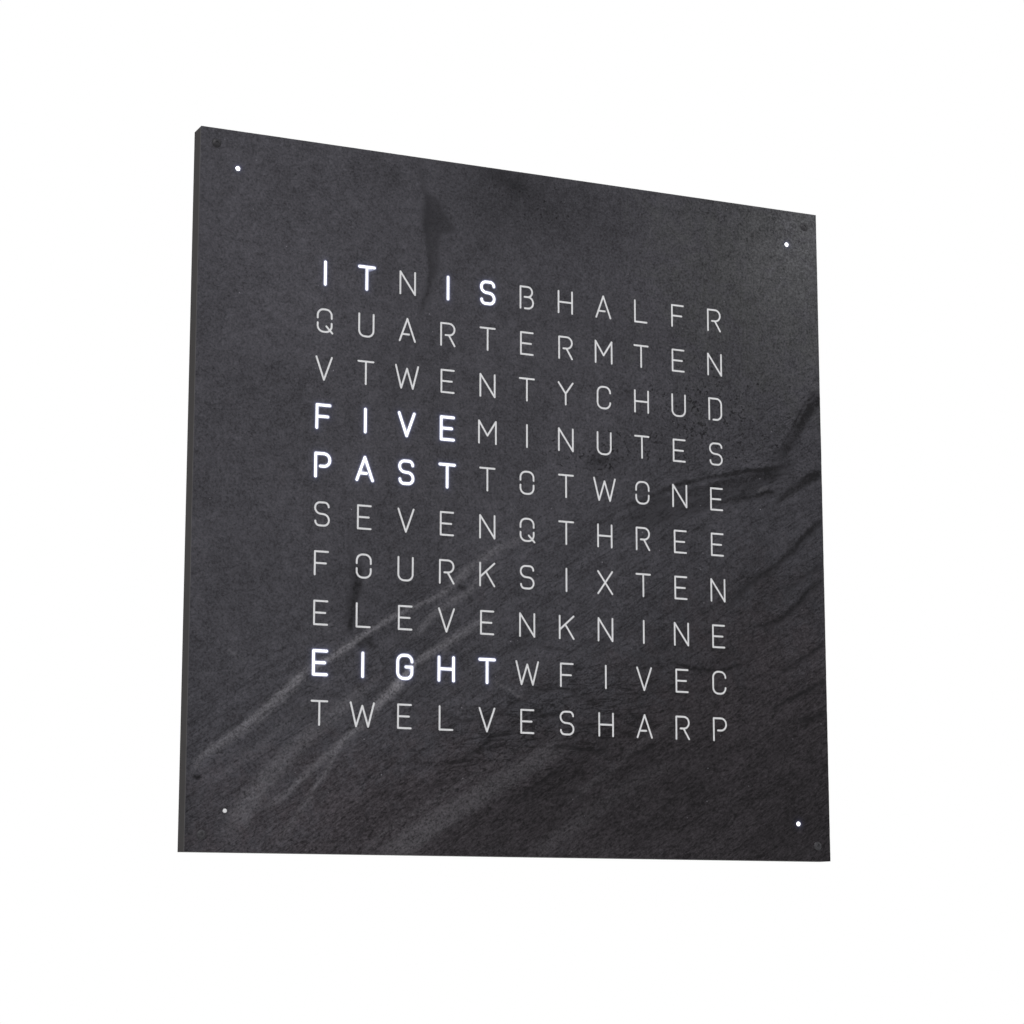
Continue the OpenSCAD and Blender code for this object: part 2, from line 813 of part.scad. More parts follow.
module hanger_plates() {
  color([0.7, 0.7, 0.72]) at_hangers() difference() {
    plate(y_body_back - hanger_t, y_body_back)
      translate([0, hanger_mid]) rounded(hanger_w, hanger_h, cutter_r - part_gap);
    rod_y(keyhole_d / 2, y_body_back - hanger_t - eps, y_body_back + eps);
    block([-keyslot_w / 2, y_body_back - hanger_t - eps, 0],
          [keyslot_w / 2, y_body_back + eps, keyslot_l]);
    translate([0, 0, keyslot_l])
      rod_y(keyslot_w / 2, y_body_back - hanger_t - eps, y_body_back + eps);
    for (s = [-1, 1]) translate([s * hanger_screw_x, y_body_back, hanger_mid]) rotate([90, 0, 0])
      cylinder(r1 = hanger_head_r + press_gap, r2 = hanger_screw_r + press_gap, h = hanger_t + eps);
  }
}

module hanger_screws() {
  color([0.75, 0.75, 0.77]) at_hangers()
    for (s = [-1, 1]) translate([s * hanger_screw_x, y_body_back, hanger_mid]) rotate([90, 0, 0]) {
      cylinder(r1 = hanger_head_r, r2 = hanger_screw_r, h = hanger_t);
      cylinder(r = hanger_screw_r, h = hanger_screw_l);
    }
}

slate_face();
steel_backing();
corner_screws();
threaded_inserts();
minute_lenses();
diffuser_sheet();
chamber_grid();
body_frame();
led_board();
letter_leds();
led_drivers();
led_board_screws();
dot_boards();
dot_leds();
dot_leads();
control_board();
board_standoffs();
control_board_screws();
board_header();
microcontroller();
clock_chip();
quartz_crystal();
voltage_regulator();
smoothing_capacitors();
coin_cell_holder();
coin_cell();
coin_cell_clip();
lead_sockets();
power_socket();
power_socket_pin();
power_wires();
button_board();
button_lead();
button_switches();
button_bushes();
hour_button();
hour_switch_stem();
minute_button();
minute_switch_stem();
brightness_button();
brightness_switch_stem();
rear_cover();
rear_cover_screws();
hanger_plates();
hanger_screws();
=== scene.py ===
"""Looks of a square wall word clock: a natural slate face, lit letters and a slim dark body.

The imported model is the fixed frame. Each class below is one sub-assembly: it holds its sizes in
millimetres, builds its surfaces round the frame and dresses them. Face coordinates are x to the
right and z up from the middle of the clock, and the face looks along -Y.
"""

import json
import logging
import math
from collections.abc import Sequence
from dataclasses import dataclass, field
from enum import Enum
from typing import ClassVar

import bmesh
import bpy
import numpy as np
from mathutils import Euler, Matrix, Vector
from mathutils.geometry import delaunay_2d_cdt


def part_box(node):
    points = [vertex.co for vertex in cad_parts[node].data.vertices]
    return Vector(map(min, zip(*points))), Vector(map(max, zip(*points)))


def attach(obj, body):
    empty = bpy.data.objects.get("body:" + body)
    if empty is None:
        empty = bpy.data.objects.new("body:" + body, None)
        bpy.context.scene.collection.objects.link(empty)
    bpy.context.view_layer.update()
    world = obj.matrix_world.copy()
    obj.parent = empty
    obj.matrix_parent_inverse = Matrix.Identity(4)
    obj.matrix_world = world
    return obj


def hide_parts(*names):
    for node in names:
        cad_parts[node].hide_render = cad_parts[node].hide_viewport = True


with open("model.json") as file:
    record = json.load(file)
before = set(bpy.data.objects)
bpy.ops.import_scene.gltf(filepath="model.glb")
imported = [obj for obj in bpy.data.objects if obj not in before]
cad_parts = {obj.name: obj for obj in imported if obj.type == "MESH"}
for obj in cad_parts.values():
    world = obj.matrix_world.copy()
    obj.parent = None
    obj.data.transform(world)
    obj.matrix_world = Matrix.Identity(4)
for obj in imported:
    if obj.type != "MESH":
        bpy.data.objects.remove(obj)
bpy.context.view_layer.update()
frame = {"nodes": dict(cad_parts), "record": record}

LOG = logging.getLogger("word_clock")
MM = 0.001
WELD_GAP = 0.001
BODY = "clock_body"
WHITE = (1.0, 1.0, 1.0, 1.0)
FRONTWARD, BACKWARD, RIGHTWARD = (0, -1, 0), (0, 1, 0), (1, 0, 0)
CORNERS = ((-1, -1), (-1, 1), (1, -1), (1, 1))
Array = np.ndarray
Solid = tuple[Array, list[Array]]
Triangulation = tuple[Array, Array, Array, Array]
Material = bpy.types.Material
Tree = bpy.types.NodeTree
Source = bpy.types.NodeSocket | bpy.types.Node
Place = tuple[float, float, float]
# rows of names and numbers, as the comment over each table says
Table = tuple[tuple, ...]
STONE_VALUES = ("vein", "cleft", "flake", "tone", "tint", "fold", "pits", "ripple")


# ---- Places taken from the frame ----


def span(node: str, axis: int) -> tuple[float, float]:
    """Lowest and highest place of a CAD node along X, Y or Z, which are 0, 1 and 2, in millimetres."""
    low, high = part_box(node)
    return low[axis] / MM, high[axis] / MM


def middle(node: str, axis: int) -> float:
    """Middle of a CAD node along an axis, in millimetres."""
    low, high = span(node, axis)
    return (low + high) / 2


FACE_HALF = span("slate_face", 0)[1]
Y_FRONT, Y_SLATE_BACK = span("slate_face", 1)
Y_STEEL_BACK = span("steel_backing", 1)[1]


# ---- Mesh helpers ----


def surface_mesh(name: str, points: Array, faces: Sequence[Array]) -> bpy.types.Mesh:
    """Puts whole arrays of points and faces into a new mesh.

    Args:
        name: name of the mesh.
        points: n by 3 places in millimetres.
        faces: arrays of corner indices, one array for triangles, one for quads and so on.

    Returns:
        The mesh, in metres.
    """
    mesh = bpy.data.meshes.new(name)
    mesh.vertices.add(len(points))
    mesh.vertices.foreach_set("co", (np.asarray(points, float) * MM).astype(np.float32).ravel())
    sizes = np.concatenate([np.full(len(group), group.shape[1]) for group in faces])
    mesh.loops.add(int(sizes.sum()))
    corners = np.concatenate([group.ravel() for group in faces]).astype(np.int32)
    mesh.loops.foreach_set("vertex_index", corners)
    mesh.polygons.add(len(sizes))
    starts = np.concatenate([[0], np.cumsum(sizes)[:-1]]).astype(np.int32)
    mesh.polygons.foreach_set("loop_start", starts)
    mesh.update(calc_edges=True)
    mesh.validate()
    return mesh


def new_object(name: str, data: bpy.types.ID) -> bpy.types.Object:
    """Makes an object at the origin and links it to the scene.

    Args:
        name: name of the object.
        data: its mesh, lamp or camera.

    Returns:
        The object.
    """
    made = bpy.data.objects.new(name, data)
    bpy.context.scene.collection.objects.link(made)
    return made


def aim(heading: Vector) -> Euler:
    """Turn that makes a camera or a lamp face along a heading, with its top up."""
    return heading.to_track_quat("-Z", "Y").to_euler()


def add_piece(
    name: str,
    solid: Solid,
    material: Material,
    stands_for: Sequence[str] = (),
    body: str = BODY,
    crease: float = 40.0,
    welded: bool = False,
) -> bpy.types.Object:
    """Makes a piece of the clock from arrays and ties it to the frame.

    Args:
        name: name of the piece.
        solid: its points in millimetres and its face groups.
        material: finish of the piece.
        stands_for: CAD nodes that the piece replaces.
        body: CAD body that carries the piece.
        crease: edges that turn more than this many degrees stay sharp.
        welded: join points that lie together and turn all faces outwards.

    Returns:
        The new object.
    """
    mesh = surface_mesh(name, *solid)
    if welded:
        shell = bmesh.new()
        shell.from_mesh(mesh)
        bmesh.ops.remove_doubles(shell, verts=shell.verts, dist=WELD_GAP * MM)
        bmesh.ops.recalc_face_normals(shell, faces=shell.faces)
        shell.to_mesh(mesh)
        shell.free()
    mesh.shade_smooth()
    mesh.set_sharp_from_angle(angle=math.radians(crease))
    mesh.materials.append(material)
    piece = new_object(name, mesh)
    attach(piece, body)
    if stands_for:
        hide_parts(*stands_for)
    LOG.info("%s: %d faces", name, len(mesh.polygons))
    return piece


def angles_round(count: int) -> Array:
    """Angles evenly spaced round a circle, from 0."""
    return np.linspace(0, 2 * math.pi, count, endpoint=False)


def ring_faces(rings: int, around: int) -> Array:
    """Quads that join rings of points, each ring closed on itself.

    Args:
        rings: number of rings, stored one after another.
        around: points in a ring.

    Returns:
        Corner indices, one row a quad.
    """
    row = np.arange(rings - 1)[:, None] * around
    here = np.arange(around)[None, :]
    after = (here + 1) % around
    quads = np.stack([row + here, row + after, row + around + after, row + around + here], -1)
    return quads.reshape(-1, 4)


def merge_parts(parts: Sequence[Solid]) -> Solid:
    """Joins several solids into one set of arrays.

    Args:
        parts: points and face groups of each solid.

    Returns:
        All points, and the face groups with their indices moved on.
    """
    points, faces, offset = [], [], 0
    for part_points, groups in parts:
        points.append(part_points)
        faces.extend(group + offset for group in groups)
        offset += len(part_points)
    return np.concatenate(points), faces


def rings_about(reach: Array, along: Array, turn: Array) -> Array:
    """Rings about an axis: the reach times the cosine and sine of the turn, and the place along."""
    places = along[:, None] + 0 * reach
    return np.stack([reach * np.cos(turn), reach * np.sin(turn), places], -1).reshape(-1, 3)


def turned(rows: Sequence[tuple[float, ...]], around: int = 24) -> Solid:
    """Solid turned round an axis: rings of points, closed by a pole at each end.

    A row gives a ring's radius and its place along the axis, and may end with a share from 0 to 1
    that pulls the ring from a circle to a hexagon with the same corners. Rows run so that the
    outside is on the right of someone who walks along them with the axis on the left.

    Args:
        rows: the profile.
        around: points in a ring, a multiple of 12 where a hexagon is wanted.

    Returns:
        Points with the axis as their third place, and face groups.
    """
    radius, along, hexed = (np.array([(*row, 0.0)[k] for row in rows], float) for k in range(3))
    turn = angles_round(around)
    sixth = math.pi / 3
    hexagon = math.cos(sixth / 2) / np.cos((turn + sixth / 2) % sixth - sixth / 2)
    reach = radius[:, None] * (1 + hexed[:, None] * (hexagon - 1))
    rings = rings_about(reach, along, turn)
    poles = np.array([[0, 0, along[0]], [0, 0, along[-1]]])
    here = np.arange(around)
    after = (here + 1) % around
    last, low = (len(rows) - 1) * around, len(rings)
    caps = np.concatenate([
        np.stack([np.full(around, low), after, here], -1),
        np.stack([np.full(around, low + 1), last + here, last + after], -1),
    ])
    return np.concatenate([rings, poles]), [ring_faces(len(rows), around), caps]


def turned_tube(rows: Sequence[tuple[float, float]], around: int = 36) -> Solid:
    """Ring turned round an axis from a closed profile, for a bush or a tube.

    Args:
        rows: radius and place along the axis, in the order that `turned` wants; the last row joins
            the first.
        around: points in a ring.

    Returns:
        Points with the axis as their third place, and face groups.
    """
    radius, along = np.array(rows, float).T
    turn = angles_round(around)
    rings = rings_about(radius[:, None] + 0 * turn, along, turn)
    return rings, [ring_faces(len(rows) + 1, around) % len(rings)]


def placed(part: Solid, centre: Sequence[float], axis: Sequence[float]) -> Solid:
    """Stands a turned part on a place, with its axis along a direction.

    Args:
        part: points and face groups, with the axis as third place.
        centre: place of the axis' zero, in millimetres.
        axis: unit direction of the axis.

    Returns:
        The part in the clock's frame.
    """
    points, faces = part
    w = np.array(axis, float)
    u = np.array((0.0, 0.0, 1.0) if abs(w[2]) < 0.5 else (1.0, 0.0, 0.0))
    return points @ np.stack([u, np.cross(w, u), w]) + np.array(centre, float), faces


# ---- Material helpers ----


def srgb(code: str) -> tuple[float, float, float, float]:
    """Linear colour of an sRGB hex value.

    Args:
        code: six hex digits after a #.

    Returns:
        Linear red, green and blue, and an alpha of 1.
    """
    parts = [int(code[i : i + 2], 16) / 255 for i in (1, 3, 5)]
    linear = [c / 12.92 if c <= 0.04045 else ((c + 0.055) / 1.055) ** 2.4 for c in parts]
    return (*linear, 1.0)


def fill(tree: Tree, node: bpy.types.Node, wires: dict) -> None:
    """Sets or links the inputs of a node.

    Args:
        tree: node tree of the node.
        node: the node.
        wires: input name or number to a value, to another node's output, or to another node, whose
            first output it is then.
    """
    for socket, value in wires.items():
        if isinstance(value, bpy.types.Node):
            value = value.outputs[0]
        if isinstance(value, bpy.types.NodeSocket):
            tree.links.new(value, node.inputs[socket])
        else:
            node.inputs[socket].default_value = value


def add(
    tree: Tree, kind: str, wires: dict | None = None, stops: Sequence = (), **settings: object
) -> bpy.types.Node:
    """Adds a node with its settings, and fills or links its inputs.

    Args:
        tree: node tree that takes the node.
        kind: Blender's name of the node type, less its leading ShaderNode.
        wires: what each input gets, as `fill` takes it.
        stops: places and colours, for a colour ramp.
        settings: the node's own properties.

    Returns:
        The new node.
    """
    node = tree.nodes.new("ShaderNode" + kind)
    for name, value in settings.items():
        setattr(node, name, value)
    for _ in range(len(stops) - 2):
        node.color_ramp.elements.new(0.5)
    for element, (place, colour) in zip(node.color_ramp.elements if stops else (), stops):
        element.position = place
        element.color = colour
    fill(tree, node, wires or {})
    return node


def per_mm(length: float) -> float:
    """Scale of a noise whose features are that many millimetres apart."""
    return 1 / (length * MM)


@dataclass(frozen=True)
class Finish:
    """A finish: its name, its colour and how it takes light. A metal keeps the usual ior."""

    name: str
    colour: str
    roughness: float = 0.5
    metallic: float = 0.0
    ior: float = 1.5

    def start(self) -> tuple[Material, Tree, bpy.types.Node]:
        """Makes an empty node material with its shader.

        Returns:
            The material, its node tree and its surface shader.
        """
        material = bpy.data.materials.new(self.name)
        material.use_nodes = True
        tree = material.node_tree
        tree.nodes.clear()
        shader = add(tree, "BsdfPrincipled", {
            "Base Color": srgb(self.colour),
            "Roughness": self.roughness,
            "Metallic": self.metallic,
            "IOR": self.ior,
        })
        add(tree, "OutputMaterial", {"Surface": shader})
        return material, tree, shader

    def material(self) -> Material:
        """The finish as a material."""
        return self.start()[0]


# ---- The stone ----


class SmoothNoise:
    """Seeded gradient noise over the face, from -1 to 1, which repeats after SIZE cells."""

    SIZE = 256
    GAIN = 1.5

    def __init__(self, seed: int) -> None:
        """Draws the unit vectors of the lattice, in a pattern that the seed fixes."""
        turn = np.random.default_rng(seed).uniform(0, 2 * math.pi, (self.SIZE, self.SIZE))
        self.east, self.north = np.cos(turn), np.sin(turn)

    def plain(self, x: Array, z: Array, cell: float) -> Array:
        """One layer: each corner of a cell pulls along its own vector, blended by a fifth-order fade.

        Args:
            x: places across, in millimetres.
            z: places up.
            cell: size of a cell.

        Returns:
            The noise at each place.
        """
        u, v = x / cell + 0.5 * self.SIZE, z / cell + 0.5 * self.SIZE
        i, j = np.floor(u).astype(int), np.floor(v).astype(int)
        f, g = u - i, v - j
        fade_f, fade_g = f**3 * (f * (6 * f - 15) + 10), g**3 * (g * (6 * g - 15) + 10)
        total = np.zeros_like(u)
        for di in (0, 1):
            for dj in (0, 1):
                a, b = (i + di) % self.SIZE, (j + dj) % self.SIZE
                pull = self.east[a, b] * (f - di) + self.north[a, b] * (g - dj)
                total += pull * (fade_f if di else 1 - fade_f) * (fade_g if dj else 1 - fade_g)
        return self.GAIN * total

    def layered(self, x: Array, z: Array, cell: float, layers: int = 4, gain: float = 0.5) -> Array:
        """Sum of layers, each half as wide and `gain` times as strong as the one before.

        Args:
            x: places across, in millimetres.
            z: places up.
            cell: size of the widest cell.
            layers: number of layers.
            gain: strength of a layer against the one before.

        Returns:
            The noise, scaled back to about -1 to 1.
        """
        total, weight, whole = np.zeros_like(x), 1.0, 0.0
        for layer in range(layers):
            total += weight * self.plain(x + 17.3 * layer, z - 9.1 * layer, cell / 2**layer)
            whole += weight
            weight *= gain
        return total / whole


def smoothstep(low: float, high: float, value: Array) -> Array:
    """0 below low, 1 above high and a smooth rise between."""
    t = np.clip((value - low) / (high - low), 0, 1)
    return t * t * (3 - 2 * t)


def smooth_curve(knots: Sequence[tuple[float, float]], step: float) -> Array:
    """Points along a curve that passes through the knots with matching slopes.

    Each span is the cubic whose end slopes are half the step between the knots on both sides.

    Args:
        knots: places that the curve passes through.
        step: rough distance between the points.

    Returns:
        n by 2 points.
    """
    known = np.array(knots, float)
    padded = np.concatenate([[2 * known[0] - known[1]], known, [2 * known[-1] - known[-2]]])
    points = []
    for before, start, end, after in zip(padded, padded[1:], padded[2:], padded[3:]):
        count = max(2, int(np.linalg.norm(end - start) / step))
        t = np.linspace(0, 1, count, endpoint=False)[:, None]
        rise, fall = (end - before) / 2, (after - start) / 2
        points.append(
            (2 * t**3 - 3 * t**2 + 1) * start + (t**3 - 2 * t**2 + t) * rise
            + (3 * t**2 - 2 * t**3) * end + (t**3 - t**2) * fall
        )
    return np.concatenate([*points, known[-1:]])


def foot_on_piece(start: Array, end: Array, place: Array) -> tuple[Array, Array]:
    """Foot of the perpendicular from each place to a straight piece, held to the piece.

    Args:
        start: one end of the piece.
        end: its other end.
        place: n by 2 places.

    Returns:
        Shares of the way along, and steps from each foot to its place.
    """
    step = end - start
    t = np.clip((place - start) @ step / (step @ step), 0, 1)
    return t, place - start - t[:, None] * step


def nearest_on_line(line: Array, place: Array) -> tuple[Array, Array, Array]:
    """How places lie against a line of short pieces: the nearest foot of all pieces counts.

    Args:
        line: points of the line.
        place: n by 2 places.

    Returns:
        Distances, signs that are positive on the left, and shares of the way along.
    """
    best, side, along = np.full(len(place), 1e6), np.zeros(len(place)), np.zeros(len(place))
    for k, (start, end) in enumerate(zip(line, line[1:])):
        t, gap = foot_on_piece(start, end, place)
        step = end - start
        distance = np.hypot(gap[:, 0], gap[:, 1])
        closer = distance < best
        best = np.where(closer, distance, best)
        side = np.where(closer, np.sign(step[0] * gap[:, 1] - step[1] * gap[:, 0]), side)
        along = np.where(closer, (k + t) / (len(line) - 1), along)
    return best, side, along


def places_near(line: Array, x: Array, z: Array, reach: float) -> tuple[Array, Array]:
    """Places in the box round a line.

    Args:
        line: points of the line.
        x: places across.
        z: places up.
        reach: how far the box stands out from the line.

    Returns:
        Indices of the places, and the places as n by 2.
    """
    (left, low), (right, high) = line.min(0) - reach, line.max(0) + reach
    chosen = np.flatnonzero((x > left) & (x < right) & (z > low) & (z < high))
    return chosen, np.stack([x[chosen], z[chosen]], -1)


class Mark(Enum):
    """What a mark in the stone is."""

    VEIN = "pale fibrous streak that stands up"
    # a cleft is lowered and also painted dark: painted shade in the crack or hollow
    CLEFT = "dark crack or hollow"
    # the lower side of a step is painted dark: painted shadow below its edge
    STEP = "edge of a split layer, higher on its left"


@dataclass(frozen=True)
class StoneMark:
    """A line or band in the slate, drawn as a curve across the face.

    The left side is the left hand of someone who walks along the curve. A flatness of 2 is a round
    bell across the line, and more gives a flat top with steeper edges.
    """

    kind: Mark
    knots: tuple[tuple[float, float], ...]
    width: float
    strength: float = 1.0
    end_strength: float = 0.3
    left_softness: float = 1.0
    right_softness: float = 1.0
    end_width: float = 0.0
    flatness: float = 2.0

    def profile(self, x: Array, z: Array) -> tuple[Array, Array]:
        """How strongly the mark shows at each place, and on which side a place lies.

        The strength falls off as a bell over the width, stretched by each side's own softness. Width
        and strength change evenly from the first knot to the last, and both ends fade out.

        Args:
            x: places across, in millimetres.
            z: places up.

        Returns:
            Strength from 0 to 1, and a sign that is positive on the left.
        """
        line = smooth_curve(self.knots, 4.0)
        end_width = self.end_width or self.width
        reach = 2.2 * max(self.width, end_width) * max(self.left_softness, self.right_softness, 1.0)
        chosen, place = places_near(line, x, z, reach)
        distance, sign, along = nearest_on_line(line, place)
        softness = np.where(sign > 0, self.left_softness, self.right_softness)
        width = (self.width + (end_width - self.width) * along) * softness
        bell = np.exp(-((distance / width) ** self.flatness))
        ends = 0.25 + 0.75 * smoothstep(0, 0.12, along) * smoothstep(0, 0.12, 1 - along)
        level, side = np.zeros_like(x), np.ones_like(x)
        level[chosen] = bell * ends * (self.strength + (self.end_strength - self.strength) * along)
        side[chosen] = sign
        return level, side


@dataclass(frozen=True)
class StonePatch:
    """A darker or paler spot in the slate, an ellipse with a soft edge. The turn is in degrees."""

    x: float
    z: float
    long_radius: float
    short_radius: float
    turn: float
    shade: float

    def profile(self, x: Array, z: Array) -> Array:
        """Bell over the ellipse, times the shade.

        Args:
            x: places across, in millimetres.
            z: places up.

        Returns:
            The shade at each place.
        """
        c, s = math.cos(math.radians(self.turn)), math.sin(math.radians(self.turn))
        u, v = x - self.x, z - self.z
        along, across = (u * c + v * s) / self.long_radius, (v * c - u * s) / self.short_radius
        return self.shade * np.exp(-(along**2 + across**2))


def shade_of(patches: Sequence[StonePatch], x: Array, z: Array) -> Array:
    """Sum of the shades of several patches at each place."""
    return sum(patch.profile(x, z) for patch in patches)


@dataclass(frozen=True)
class StoneFlake:
    """A place where a thin flake of the top layer came away, drawn as its outline."""

    outline: tuple[tuple[float, float], ...]

    def depth(self, x: Array, z: Array, reach: float) -> Array:
        """Distance in from the flake's edge, and negative outside.

        A place is inside where a level line to its right meets the outline an odd number of times.

        Args:
            x: places across, in millimetres.
            z: places up.
            reach: distances are held between this and its negative.

        Returns:
            The depth at each place.
        """
        line = smooth_curve([*self.outline, self.outline[0]], 3.0)
        chosen, place = places_near(line, x, z, reach)
        inside = np.zeros(len(chosen), bool)
        for (x0, z0), (x1, z1) in zip(line, line[1:]):
            meets = (z0 > place[:, 1]) != (z1 > place[:, 1])
            inside ^= meets & (place[:, 0] < x0 + (x1 - x0) * (place[:, 1] - z0) / (z1 - z0 or 1.0))
        distance = np.minimum(nearest_on_line(line, place)[0], reach)
        found = np.full_like(x, -reach)
        found[chosen] = np.where(inside, distance, -distance)
        return found


@dataclass
class StoneSample:
    """The stone at many places: height under the face in millimetres, and what colours it."""

    height: Array
    vein: Array
    cleft: Array
    flake: Array
    # darker and paler zones of the stone, with a painted sheen and painted shade among them
    tone: Array
    tint: Array
    fold: Array
    pits: Array
    ripple: Array


